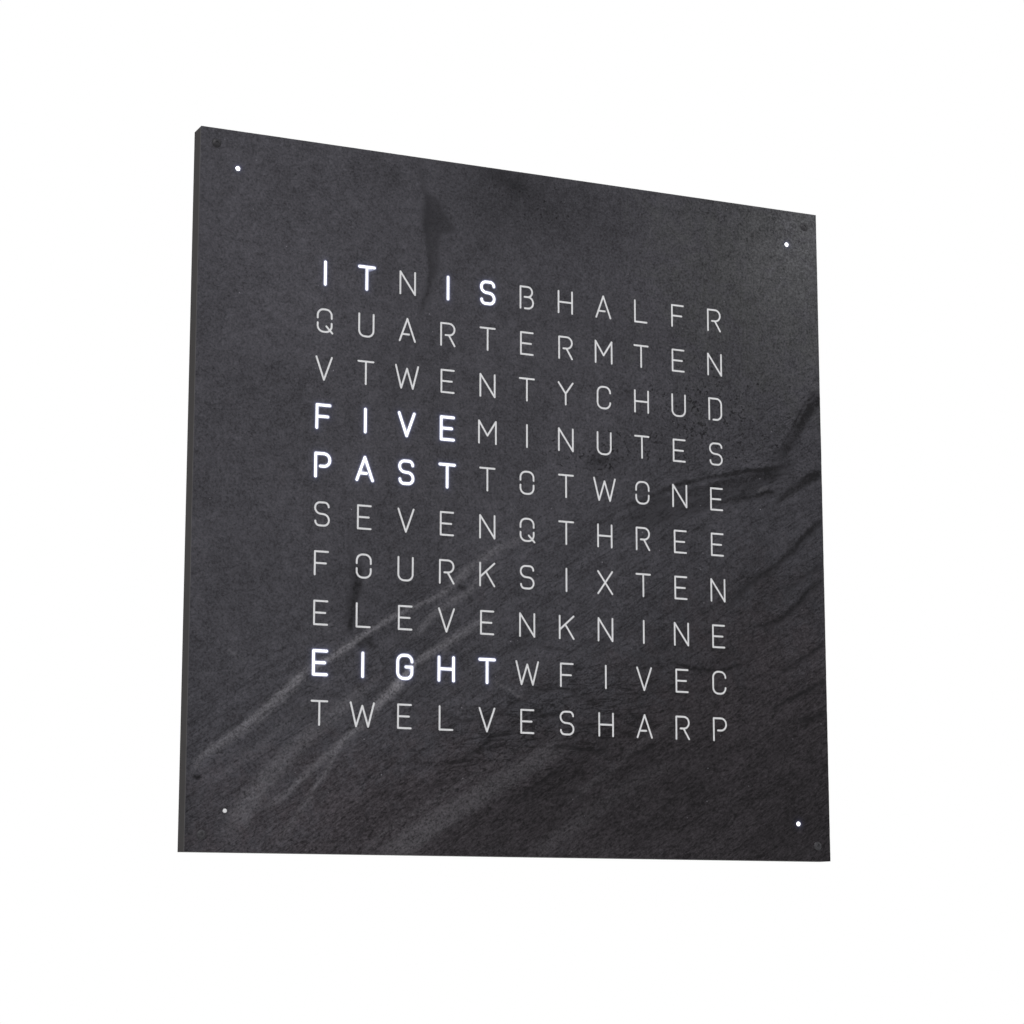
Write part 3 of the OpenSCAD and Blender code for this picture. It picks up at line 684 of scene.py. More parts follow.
# A mark's row: its kind, its measures in the order of StoneMark's fields, and its knots.
VEIN, CLEFT, STEP = Mark
STONE_MARKS = tuple(StoneMark(kind, tuple(knots), *shape) for kind, shape, *knots in (
    # the fault that runs down the left part, with the lower layer on its right, darkened next to the
    # fault with painted shadow
    (STEP, (1.0, 0.85, 0.5, 0.3, 5.0), (-77, 120), (-75, 127), (-70, 143), (-72, 160), (-74, 176),
     (-72, 192), (-75, 201), (-77, 211), (-79, 226)),
    (STEP, (0.9, 0.34, 0.5, 0.4, 3.0), (-105, 8), (-102, 28), (-98, 42), (-96, 64), (-92, 84),
     (-82, 106), (-77, 120)),
    (STEP, (1.0, 0.9, 0.25, 0.4, 5.0), (-126, -90), (-125, -77), (-123, -66), (-121, -54),
     (-123, -40), (-125, -28), (-117, -14), (-108, 4)),
    (CLEFT, (2.2, 0.7, 0.6, 0.8, 1.0, 4.2, 3.0), (-122.5, -90), (-120, -72), (-117, -54),
     (-119, -44)),
    (CLEFT, (2.6, 0.6, 0.4), (-116, -98), (-111, -93), (-105, -92)),
    (CLEFT, (1.0, 1.0, 1.0), (-220, -181), (-217, -180.5)),
    (CLEFT, (0.7, 0.8, 0.6), (-179, -142), (-174, -140), (-170, -141)),
    (CLEFT, (1.6, 0.7, 0.6), (-112, -91), (-108, -95), (-104, -98)),
    (CLEFT, (1.5, 0.7, 0.6), (-49, -54), (-46, -56.5), (-43, -55)),
    (CLEFT, (1.3, 0.7, 0.6), (-42, -62), (-38, -64)),
    # long pale streak from the left edge, which splits in two further up
    (VEIN, (2.0, 0.36, 0.72, 0.8, 1.2, 2.6, 5.0), (-221, -180), (-218, -170), (-210, -164),
     (-203, -159), (-195, -153), (-185, -145), (-175, -137), (-168, -130), (-161, -124), (-155, -118),
     (-148, -112)),
    (VEIN, (2.1, 0.75, 0.5, 0.8, 1.2, 1.2, 5.0), (-151, -115), (-135, -105), (-129, -101.5),
     (-120, -95), (-110, -88), (-104, -84), (-91, -76), (-78, -70)),
    (VEIN, (1.2, 0.45, 0.35, 0.8, 1.3, 1.7, 4.0), (-92, -76.5), (-78, -69.7), (-67.5, -64.5),
     (-57, -58.6), (-47, -50)),
    (VEIN, (2.5, 0.5, 0.15, 0.8, 1.2, 2.4, 4.0), (-53, -55), (-44, -46), (-39, -42), (-31, -36),
     (-19, -28), (0, -20)),
    (VEIN, (2.3, 0.3, 0.28, 0.9, 1.1, 2.0, 5.0), (-82, -90), (-74, -84), (-65, -73.6), (-52, -64.5),
     (-41.5, -58), (-33.6, -50), (-20, -41)),
    (VEIN, (0.7, 0.3, 0.35, 1.0, 1.0, 0.7, 3.0), (-205, -164), (-186, -151), (-168, -136),
     (-152, -120)),
    # second streak with its bright knot, and the branches under it
    (VEIN, (2.5, 0.7, 0.95, 0.9, 1.1, 3.1, 4.0), (-107, -139), (-102.7, -132), (-98, -128),
     (-93.5, -124), (-90, -120), (-86, -115.5)),
    (VEIN, (2.3, 0.9, 0.7, 0.9, 1.1, 1.7, 4.0), (-89, -118.5), (-84.4, -114), (-81, -109),
     (-77, -104.5)),
    (VEIN, (2.4, 0.62, 0.2, 0.9, 1.1, 2.4, 5.0), (-80, -107), (-71, -101), (-62, -95.7), (-52, -89),
     (-41.5, -82.7), (-33.6, -77.5), (-20, -73)),
    (VEIN, (2.0, 0.32, 0.58, 0.7, 1.2, 1.6, 4.0), (-177, -199), (-165, -191), (-157, -184),
     (-149.5, -177), (-141, -169), (-130, -160), (-122.6, -153), (-117, -148.5), (-108, -142),
     (-103, -135)),
    (VEIN, (1.1, 0.5, 0.62, 1.0, 1.0, 0.9, 2.0), (-146.5, -189), (-141.8, -182.5), (-137.5, -177),
     (-134.3, -171.5), (-130, -163.5), (-122.5, -153.5)),
    (VEIN, (1.3, 0.22, 0.3, 0.7, 1.8), (-168, -219), (-158, -205), (-150, -195), (-143, -187)),
    # wide faint bands, lit along their upper edge
    (VEIN, (7.5, 0.32, 0.22, 0.8, 1.1, 4.2, 5.0), (-198, -214), (-184, -191), (-171, -175),
     (-157, -160.6), (-140, -145.6), (-122, -131), (-108, -118)),
    (VEIN, (3.2, 0.1, 0.1, 0.8, 1.2, 3.0, 4.0), (-205, -180), (-184, -164), (-166, -149),
     (-144, -131)),
    (VEIN, (8.2, 0.28, 0.15, 0.9, 1.1, 6.0, 7.0), (-100, -228), (-70, -208), (-45, -193),
     (-20, -178), (5, -164), (30, -150)),
    (VEIN, (0.9, 0.2, 0.12, 0.8, 1.8, 0.8), (-112, -224), (-95, -209), (-75, -197), (-50, -182),
     (-25, -167), (0, -154)),
    (VEIN, (6.0, 0.1, 0.05, 0.8, 1.2, 4.5, 5.0), (0, -226), (30, -206), (58, -187), (84, -172),
     (110, -160)),
    (VEIN, (2.2, 0.14, 0.06, 0.6, 1.4, 2.0, 3.0), (28, -188), (41, -180), (60, -167.5), (77, -153),
     (100, -138), (125, -125)),
    (VEIN, (0.8, 0.5, 0.4), (173, 23.2), (177, 25.4), (181, 26)),
    # clefts that fan out to the right edge, darkened with painted shade, crisp above and soft below
    (CLEFT, (1.2, 0.4, 1.0, 0.5, 1.6, 1.7, 3.0), (60, 2), (87, 12), (110, 23), (121.5, 26.6),
     (133, 30), (150, 33.5), (162, 37), (179, 39.5), (191, 42), (202, 45)),
    (CLEFT, (3.8, 0.25, 0.75, 0.5, 1.7, 4.4, 3.0), (70, 2), (98, 11), (124, 20), (150, 28),
     (176, 35), (196, 41)),
    (CLEFT, (3.4, 0.5, 0.85, 0.9, 1.1, 4.4, 3.0), (189, 47), (196, 54), (201, 61), (208, 71.5),
     (214, 81), (221, 90), (227, 97)),
    (CLEFT, (0.9, 0.6, 0.9), (186, 50), (193, 56), (198, 63), (204, 74), (210, 84), (217, 93),
     (226, 100)),
    (CLEFT, (8.0, 0.25, 0.5, 0.7, 1.1, 7.0, 3.0), (62, -10), (95, 2), (130, 13), (160, 25),
     (184, 34)),
    (CLEFT, (1.2, 0.4, 0.6, 0.7, 2.0), (84, -2), (110, 7), (138, 12), (160, 20)),
    (CLEFT, (0.8, 0.6, 1.0, 0.7, 1.7, 1.3), (134, 11), (151.5, 16), (165, 18.5), (174.6, 21.4),
     (181, 23.5), (189, 24.5)),
    (CLEFT, (2.2, 0.3, 1.0, 0.7, 1.2, 3.6, 4.0), (184, 14), (198, 25), (208, 32), (214, 36),
     (227, 42)),
    (CLEFT, (0.9, 0.3, 1.0, 0.7, 2.6, 1.6), (146, -64), (155, -50), (170, -37), (185, -27),
     (200, -14), (214, 0), (226, 10)),
    (CLEFT, (0.8, 0.7, 0.6, 0.8, 3.0, 1.6), (168, -69), (176, -67), (188, -63), (200, -54),
     (213, -41), (226, -31)),
    (CLEFT, (1.4, 0.3, 0.5, 0.7, 2.4), (190, -46), (204, -36), (226, -20)),
    (CLEFT, (0.8, 0.9, 1.0, 0.7, 2.0, 0.9), (104, -96), (115, -98.5), (130, -100), (143, -99.5),
     (160, -94)),
    (CLEFT, (1.1, 0.4, 0.8, 0.8, 2.4), (186, -100), (200, -92), (211, -86), (226, -76)),
    (CLEFT, (0.9, 0.7, 0.8, 0.8, 2.4), (178, -126), (195, -117), (214, -108), (226, -102)),
    (CLEFT, (0.9, 0.8, 0.8, 0.8, 2.2), (203, -131), (214, -129), (226, -124)),
    # hairlines
    (VEIN, (0.5, 0.2, 0.2, 1.0, 1.0, 0.5), (-203, -103), (-196, -106), (-189, -110)),
    (VEIN, (0.5, 0.35, 0.3, 1.0, 1.0, 0.5), (-26, -114), (-12, -120), (-2, -126)),
    # ripples under the second streak
    (CLEFT, (0.8, 0.5, 0.5, 0.7, 2.0), (-66, -131), (-49, -140), (-39, -140), (-22, -136),
     (-13, -129), (2, -122)),
    (CLEFT, (0.8, 0.4, 0.5, 0.7, 2.0), (-70, -171), (-52, -167), (-36, -160), (-25, -150),
     (-4, -143)),
    (CLEFT, (0.7, 0.4, 0.4, 0.7, 2.0), (-102, -184), (-88, -188), (-74, -186), (-52, -177)),
    (CLEFT, (0.9, 0.5, 0.4, 0.7, 2.0), (-8, -112), (8, -118), (26, -117), (44, -124), (60, -122)),
    (CLEFT, (0.8, 0.5, 0.5, 0.7, 2.0), (0, -136), (20, -134), (38, -140), (52, -139), (66, -145)),
    (CLEFT, (0.8, 0.4, 0.4, 0.7, 2.0), (6, -90), (24, -92), (32, -93), (41, -87), (62, -84)),
    (CLEFT, (1.0, 0.6, 0.6, 0.6, 2.2), (-8, -192), (0, -184), (8, -178.5), (15, -173.5),
     (24, -169)),
    (CLEFT, (1.0, 0.5, 0.7, 0.6, 2.2), (17, -158), (25, -153.5), (37, -155), (50, -156),
     (60, -154)),
    (CLEFT, (0.9, 0.6, 0.5, 0.7, 2.0), (18, -186), (26, -184), (34, -183.5), (44, -186)),
    (CLEFT, (1.3, 0.5, 0.7, 0.7, 1.8), (68, -163), (80, -156), (86, -154), (92, -151)),
    (CLEFT, (0.9, 0.5, 0.5, 0.7, 2.0), (72, -128), (78, -133), (84, -133)),
))
STONE_FLAKES = (
    StoneFlake(((-74, 203), (-69, 201), (-62.5, 197), (-60.5, 191), (-53, 182), (-52.5, 177.5),
                (-60, 176), (-63, 171), (-62.5, 157), (-63.5, 149), (-67, 144), (-70.5, 135), (-73, 125),
                (-76.5, 119), (-75.5, 128), (-72.3, 139.5), (-71, 151), (-71, 163), (-73.4, 171),
                (-75.2, 185), (-74, 195))),
)
# A patch's row: x, z, long and short radius, turn and shade. These are darker and paler areas.
# The pale patch at the far top right is a painted sheen, and the dark patches over the lower right
# and the bottom are partly the stone's darker zone and partly painted shade.
TONE_SHEEN_AND_SHADE_PATCHES = tuple(StonePatch(*row) for row in (
    (54, 34, 11, 4.5, 8, -0.9), (-9, 215, 12, 6, -15, -0.7), (-64, 186, 9, 13, 20, -0.28),
    (-20, 222, 16, 5, 0, -0.5), (72, 81, 6, 4, 20, -0.5), (196, 47, 12, 7, 25, -0.3),
    (-158, 128, 52, 74, 10, 0.2), (-185, 185, 40, 40, 0, 0.09), (15, -30, 40, 45, 0, 0.1),
    (10, 205, 62, 34, 0, -0.5), (214, 210, 50, 74, 0, 0.6), (170, -60, 100, 60, 25, -0.42),
    (205, -200, 125, 88, 20, -1.15), (20, -190, 120, 50, 18, -0.95), (-226, -215, 5, 60, 0, -0.4),
))
# plum where the shade is below zero, plain grey where it is above
TINT_PATCHES = tuple(StonePatch(*row) for row in (
    (190, 180, 110, 110, 0, 1.0), (175, -70, 90, 70, 0, -0.4), (190, -190, 150, 100, 15, -1.1),
    (-70, -205, 190, 62, 8, -1.0),
))
# where small pits lie close
PITTED_PATCHES = tuple(StonePatch(*row) for row in (
    (128, 78, 74, 52, -10, 1.0), (54, 34, 14, 6, 8, 0.5), (200, 120, 40, 90, 0, 0.3),
    (40, 38, 60, 18, 5, 0.8), (0, 205, 60, 24, 0, 0.8), (-110, 60, 40, 60, 0, 0.45),
    (60, -110, 70, 34, 15, 0.6),
))
# where the stone is rippled
RIPPLED_PATCHES = tuple(StonePatch(*row) for row in (
    (-10, -158, 78, 34, 12, 1.0), (60, -122, 56, 34, 8, 0.8), (150, 28, 90, 24, 22, 0.6),
    (190, -60, 60, 60, 30, 0.45), (140, -180, 90, 60, 30, 0.4),
))


@dataclass
class SlateSurface:
    """The split face of the slate: its relief and markings as functions of the place.

    Lengths and heights are millimetres. The relief is the depth that hollows are held to, and the
    face level is the height that counts as the very top.
    """

    relief: float = 0.42
    face_level: float = 0.22
    tread_height: float = 0.05
    grit_height: float = 0.035
    swell_height: float = 0.05
    fold_height: float = 0.11
    crest_height: float = 0.10
    vein_height: float = 0.10
    cleft_depth: float = 0.22
    flake_depth: float = 0.18
    flow_angle: float = 33.0
    flake_reach: float = 4.0
    raggedness: float = 2.2
    clouds: SmoothNoise = field(default_factory=lambda: SmoothNoise(11))
    ridges: SmoothNoise = field(default_factory=lambda: SmoothNoise(23))
    grit: SmoothNoise = field(default_factory=lambda: SmoothNoise(37))

    def sample(self, x: Array, z: Array) -> StoneSample:
        """The stone at many places of the face.

        Split layers are a slow noise cut into treads with short risers. Folds are a noise stretched
        along the flow of the stone, kept to the part below the fault. Marks add ridges, grooves and
        steps along lines that a finer noise makes ragged, and grit covers all of it.

        Args:
            x: places across, in millimetres.
            z: places up.

        Returns:
            Height and colour shares at each place.
        """
        # the noises' own numbers are cell size in millimetres, layers and gain
        wander = 7.0 * self.clouds.layered(x, z, 55.0, 3)
        c, s = math.cos(math.radians(self.flow_angle)), math.sin(math.radians(self.flow_angle))
        along, across = x * c + z * s, z * c - x * s + wander
        # a soft step across the line z = 0.52 x + 12, with folded stone under it
        fold = smoothstep(-30, 45, -(z - 0.52 * x - 12) + 0.6 * wander)
        layers = 3.2 * self.clouds.layered(0.8 * x, 1.2 * z, 90.0, 5, 0.55)
        tread = np.floor(layers) + smoothstep(0.42, 0.58, layers - np.floor(layers))
        stretched = self.ridges.layered(along / 5.5, across, 11.0, 4, 0.6)
        crest = 1 - 2.2 * np.abs(self.ridges.layered(along / 7 + 40, across, 17.0, 3, 0.5))
        grit, swell = self.grit.layered(x, z, 6.0, 3, 0.7), self.clouds.layered(x, z, 30.0, 3)
        height = self.tread_height * tread + self.grit_height * grit + self.swell_height * swell
        height += fold * (self.fold_height * stretched + self.crest_height * crest)
        vein, cleft, flake = np.zeros_like(x), np.zeros_like(x), np.full_like(x, -self.flake_reach)
        # two shakes of the place, drawn from far parts of the same noise
        ragged_x = self.raggedness * self.grit.layered(x - 90, z + 50, 9.0, 4, 0.8)
        ragged_z = self.raggedness * self.grit.layered(x + 130, z - 70, 9.0, 4, 0.8)
        for mark in STONE_MARKS:
            shake = 0.4 if mark.kind is VEIN else 0.8
            level, side = mark.profile(x + shake * ragged_x, z + shake * ragged_z)
            if mark.kind is VEIN:
                vein = np.maximum(vein, level)
                height += self.vein_height * level
            elif mark.kind is CLEFT:
                cleft = np.maximum(cleft, level)
                height -= self.cleft_depth * level
            else:
                height -= self.cleft_depth * level * (side < 0)
                # the low side of a step takes the cleft's dark: painted shadow below the step's edge
                cleft = np.maximum(cleft, 0.5 * level * (side < 0))
        for piece in STONE_FLAKES:
            depth = piece.depth(x + 0.5 * ragged_x, z + 0.5 * ragged_z, self.flake_reach)
            flake = np.maximum(flake, depth)
        height -= self.flake_depth * smoothstep(-0.6, 0.6, flake)
        # patches are shaken more than lines, so that their edges look torn
        # this brightness value holds a painted sheen at the far top right and painted shade over the lower
        # right, as well as the stone's own zones
        far_x, far_z = x + 3 * ragged_x, z + 3 * ragged_z
        tone = shade_of(TONE_SHEEN_AND_SHADE_PATCHES, far_x, far_z)
        tone = tone + 0.25 * self.clouds.layered(x + 60, z - 30, 60.0, 4) + fold * 0.38 * stretched
        tint = shade_of(TINT_PATCHES, far_x, far_z)
        pits = shade_of(PITTED_PATCHES, x + 4 * wander, z)
        ripple = shade_of(RIPPLED_PATCHES, x + 3 * wander, z)
        # everything above the face level is cut off, and hollows level out towards the relief
        height = -self.relief * (1 - np.exp(np.minimum(height - self.face_level, 0) / self.relief))
        return StoneSample(height, vein, cleft, flake, tone, tint, fold, pits, ripple)


# ---- Letters ----

Stroke = tuple[tuple[float, float], ...]


@dataclass(frozen=True)
class Glyph:
    """A stencil capital: half its width in millimetres, and its strokes.

    Stroke points run from -1 to 1 across and up. A stroke of more than two points turns in round
    bends. Every counter is open at one place at least, so that the stone inside it stays held.
    """

    half_width: float
    strokes: tuple[Stroke, ...]


STEM: Stroke = ((-1, -1), (-1, 1))
ARCH: Stroke = ((-1, 0.22), (-1, 1), (1, 1), (1, 0.22))
CUP: Stroke = ((-1, -0.22), (-1, -1), (1, -1), (1, -0.22))
GLYPHS: dict[str, Glyph] = {
    "A": Glyph(5.3, (((-1, -1), (0, 1)), ((0, 1), (1, -1)), ((-0.7, -0.4), (0.22, -0.4)))),
    "B": Glyph(4.6, (STEM, ((-1, 1), (0.85, 1), (0.85, 0.06), (-0.35, 0.06)),
                     ((-0.1, 0.06), (1, 0.06), (1, -1), (-0.32, -1)))),
    "C": Glyph(4.7, (((1, 0.46), (1, 1), (-1, 1), (-1, -1), (1, -1), (1, -0.46)),)),
    "D": Glyph(4.7, (STEM, ((-1, 1), (1, 1), (1, -1), (-0.34, -1)))),
    "E": Glyph(4.3, (STEM, ((-1, 1), (1, 1)), ((-1, 0), (0.7, 0)), ((-1, -1), (1, -1)))),
    "F": Glyph(4.3, (STEM, ((-1, 1), (1, 1)), ((-1, 0), (0.7, 0)))),
    "G": Glyph(4.8, (((1, 0.46), (1, 1), (-1, 1), (-1, -1), (1, -1), (1, 0.0)), ((1, 0.0), (0.15, 0.0)))),
    "H": Glyph(5.0, (STEM, ((1, -1), (1, 1)), ((-1, 0), (1, 0)))),
    "I": Glyph(1.0, (((0, -1), (0, 1)),)),
    "K": Glyph(5.0, (STEM, ((1, 1), (-0.95, -0.2)), ((-0.2, 0.26), (1, -1)))),
    "L": Glyph(4.4, (STEM, ((-1, -1), (1, -1)))),
    "M": Glyph(6.0, (STEM, ((-1, 1), (0, -0.3)), ((0, -0.3), (1, 1)), ((1, 1), (1, -1)))),
    "N": Glyph(5.1, (STEM, ((-1, 1), (1, -1)), ((1, -1), (1, 1)))),
    "O": Glyph(4.7, (ARCH, CUP)),
    "P": Glyph(4.7, (STEM, ((-1, 1), (1, 1), (1, -0.1), (-0.34, -0.1)))),
    "Q": Glyph(4.7, (ARCH, CUP, ((0.25, -0.5), (1.12, -1.08)))),
    "R": Glyph(4.7, (STEM, ((-1, 1), (1, 1), (1, -0.06), (-0.34, -0.06)), ((0.15, -0.06), (1.02, -1)))),
    "S": Glyph(4.6, (((0.95, 0.62), (0.95, 1), (-1, 1), (-1, 0.06), (1, -0.06), (1, -1), (-0.95, -1),
                      (-0.95, -0.62)),)),
    "T": Glyph(5.1, (((-1, 1), (1, 1)), ((0, 1), (0, -1)))),
    "U": Glyph(4.9, (((-1, 1), (-1, -1), (1, -1), (1, 1)),)),
    "V": Glyph(5.2, (((-1, 1), (0, -1)), ((0, -1), (1, 1)))),
    "W": Glyph(7.7, (((-1, 1), (-0.52, -1)), ((-0.52, -1), (0, 0.75)), ((0, 0.75), (0.52, -1)),
                     ((0.52, -1), (1, 1)))),
    "X": Glyph(5.2, (((-1, 1), (1, -1)), ((-1, -1), (1, 1)))),
    "Y": Glyph(5.2, (((-1, 1), (0, 0.0)), ((1, 1), (0, 0.0)), ((0, 0.0), (0, -1)))),
}


def swung(arm: Array, turn: Array) -> Array:
    """Ends of an arm that is swung about its foot by each of several angles."""
    c, s = np.cos(turn), np.sin(turn)
    return np.stack([arm[0] * c - arm[1] * s, arm[0] * s + arm[1] * c], -1)


def round_bends(corners: Array, radius: float, steps: int = 7) -> Array:
    """A line through corners, with each inner corner turned into a round bend.

    A bend starts where the circle of the radius touches both legs, or close to the middle of a leg
    that it shares, if that comes first, and its points follow the arc between the two places.

    Args:
        corners: n by 2 points.
        radius: radius of the bends.
        steps: points along a bend.

    Returns:
        The points of the line.
    """
    most = 0.98
    points = [corners[:1]]
    for index in range(1, len(corners) - 1):
        here = corners[index]
        back, ahead = corners[index - 1] - here, corners[index + 1] - here
        reach_back = np.linalg.norm(back) * (1.0 if index == 1 else 0.5)
        reach_ahead = np.linalg.norm(ahead) * (1.0 if index == len(corners) - 2 else 0.5)
        back, ahead = back / np.linalg.norm(back), ahead / np.linalg.norm(ahead)
        half = math.acos(np.clip(back @ ahead, -1, 1)) / 2
        cut = min(radius / math.tan(half), most * reach_back, most * reach_ahead)
        bend = cut * math.tan(half)
        middle = here + (back + ahead) / np.linalg.norm(back + ahead) * bend / math.sin(half)
        first, last = here + back * cut - middle, here + ahead * cut - middle
        sweep = math.atan2(first[0] * last[1] - first[1] * last[0], first @ last)
        points.append(middle + swung(first, np.linspace(0, sweep, steps)))
    points.append(corners[-1:])
    return np.concatenate(points)


def ribbon(line: Array, radius: float, cap_steps: int = 7) -> Array:
    """Outline of a pen of round tip drawn along a line.

    Both sides lie a radius from the line along its normals, and half circles close its ends.

    Args:
        line: n by 2 points.
        radius: half the width of the stroke.
        cap_steps: points inside each half circle.

    Returns:
        The outline, counterclockwise.
    """
    steps = np.diff(line, axis=0)
    steps /= np.linalg.norm(steps, axis=1)[:, None]
    heading = np.concatenate([steps[:1], steps[:-1] + steps[1:], steps[-1:]])
    heading /= np.linalg.norm(heading, axis=1)[:, None]
    normal = np.stack([-heading[:, 1], heading[:, 0]], -1)
    turn = np.linspace(-math.pi / 2, math.pi / 2, cap_steps + 2)[1:-1]
    right, left = line - radius * normal, line + radius * normal
    end_cap = line[-1] + radius * swung(heading[-1], turn)
    start_cap = line[0] + radius * swung(-heading[0], turn)
    return np.concatenate([right, end_cap, left[::-1], start_cap])


@dataclass
class Lettering:
    """The grid of letters on the dial, and which of them are lit.

    The rows hold the words of the time and filler letters, in an order of this clock's own. Lit
    runs give a row and its first and last column, counted from 0.
    """

    rows: tuple[str, ...] = (
        "ITNISBHALFR", "QUARTERMTEN", "VTWENTYCHUD", "FIVEMINUTES", "PASTTOTWONE",
        "SEVENQTHREE", "FOURKSIXTEN", "ELEVENKNINE", "EIGHTWFIVEC", "TWELVESHARP",
    )
    lit_runs: tuple[tuple[int, int, int], ...] = ((0, 0, 1), (0, 3, 4), (3, 0, 3), (4, 0, 3), (8, 0, 4))
    column_pitch: float = 28.25
    row_pitch: float = 31.0
    stroke: float = 1.28
    half_height: float = 7.3
    bend: float = 3.9

    def is_lit(self, row: int, column: int) -> bool:
        """True for a letter of the time shown."""
        return any(row == r and first <= column <= last for r, first, last in self.lit_runs)

    def lines(self, lit: bool) -> list[Array]:
        """Middle lines of the strokes of all lit, or all unlit, letters.

        Args:
            lit: which letters.

        Returns:
            Arrays of n by 2 points in the face.
        """
        found = []
        for row, letters in enumerate(self.rows):
            for column, letter in enumerate(letters):
                if self.is_lit(row, column) is not lit:
                    continue
                glyph = GLYPHS[letter]
                centre = np.array([
                    (column - (len(letters) - 1) / 2) * self.column_pitch,
                    ((len(self.rows) - 1) / 2 - row) * self.row_pitch,
                ])
                size = np.array([glyph.half_width, self.half_height])
                for stroke in glyph.strokes:
                    line = centre + np.array(stroke, float) * size
                    found.append(round_bends(line, self.bend) if len(line) > 2 else line)
        return found


def distance_to_lines(place: Array, lines: Sequence[Array], reach: float) -> Array:
    """Distance from each place to the nearest of many short lines, up to a reach.

    Args:
        place: n by 2 points.
        lines: arrays of points.
        reach: distances beyond this stay at it.

    Returns:
        n distances.
    """
    best = np.full(len(place), reach)
    order = np.argsort(place[:, 0], kind="stable")
    sorted_x = place[order, 0]
    for line in lines:
        low, high = line.min(0) - reach, line.max(0) + reach
        chosen = order[np.searchsorted(sorted_x, low[0]) : np.searchsorted(sorted_x, high[0])]
        chosen = chosen[(place[chosen, 1] > low[1]) & (place[chosen, 1] < high[1])]
        spot = place[chosen]
        for start, end in zip(line, line[1:]):
            gap = foot_on_piece(start, end, spot)[1]
            best[chosen] = np.minimum(best[chosen], np.hypot(gap[:, 0], gap[:, 1]))
    return best


def triangulate(points: Array, loops: Sequence[Array]) -> Triangulation:
    """Triangles over points and closed loops.

    Args:
        points: n by 2 points.
        loops: rings of indices into the points; each is a constraint.

    Returns:
        New points, triangles turning left, how many loops each triangle lies in, and for each new
        point the number of the point it came from, or -1.
    """
    made = delaunay_2d_cdt(points.tolist(), [], [ring.tolist() for ring in loops], 0, 1e-4, True)
    spots = np.array([tuple(p) for p in made[0]])
    triangles = np.array(made[2])
    depth = np.array([len(inside) for inside in made[5]])
    source = np.array([origin[0] if origin else -1 for origin in made[3]])
    a, b, c = (spots[triangles[:, k]] for k in range(3))
    area = (b[:, 0] - a[:, 0]) * (c[:, 1] - a[:, 1]) - (b[:, 1] - a[:, 1]) * (c[:, 0] - a[:, 0])
    triangles[area < 0] = triangles[area < 0][:, ::-1]
    return spots, triangles, depth, source


def index_loops(outlines: Sequence[Array]) -> list[Array]:
    """Rings of indices for outlines that are stored one after another."""
    starts = np.cumsum([0] + [len(outline) for outline in outlines])
    return [np.arange(a, b) for a, b in zip(starts, starts[1:])]


def flat_fill(outlines: Sequence[Array]) -> tuple[Array, Array]:
    """Points and triangles over the flat area that lies inside just one of the outlines."""
    spots, triangles, depth, _ = triangulate(np.concatenate(outlines), index_loops(outlines))
    return spots, triangles[depth == 1]


def border_edges(triangles: Array) -> Array:
    """Edges that only one triangle has, with that triangle on their left.

    Args:
        triangles: corner indices.

    Returns:
        n by 2 indices.
    """
    edges = triangles[:, [0, 1, 1, 2, 2, 0]].reshape(-1, 2)
    count = int(triangles.max()) + 1
    there, back = edges @ (count, 1), edges @ (1, count)
    return edges[~np.isin(there, back)]


def border_loops(triangles: Array) -> list[list[int]]:
    """Closed runs of edges that bound a set of left-turning triangles.

    Args:
        triangles: corner indices.

    Returns:
        Rings of point indices, each with the triangles on its left.
    """
    after = dict(map(tuple, border_edges(triangles).tolist()))
    loops = []
    while after:
        start, here = after.popitem()
        ring = [start]
        while here != start:
            ring.append(here)
            here = after.pop(here)
        loops.append(ring)
    return loops


@dataclass
class FaceCuts:
    """Outlines of everything that is cut through the stone: points and rings of indices."""

    points: Array
    letters: list[Array]
    lit: list[bool]
    holes: list[Array]
    rim: Array


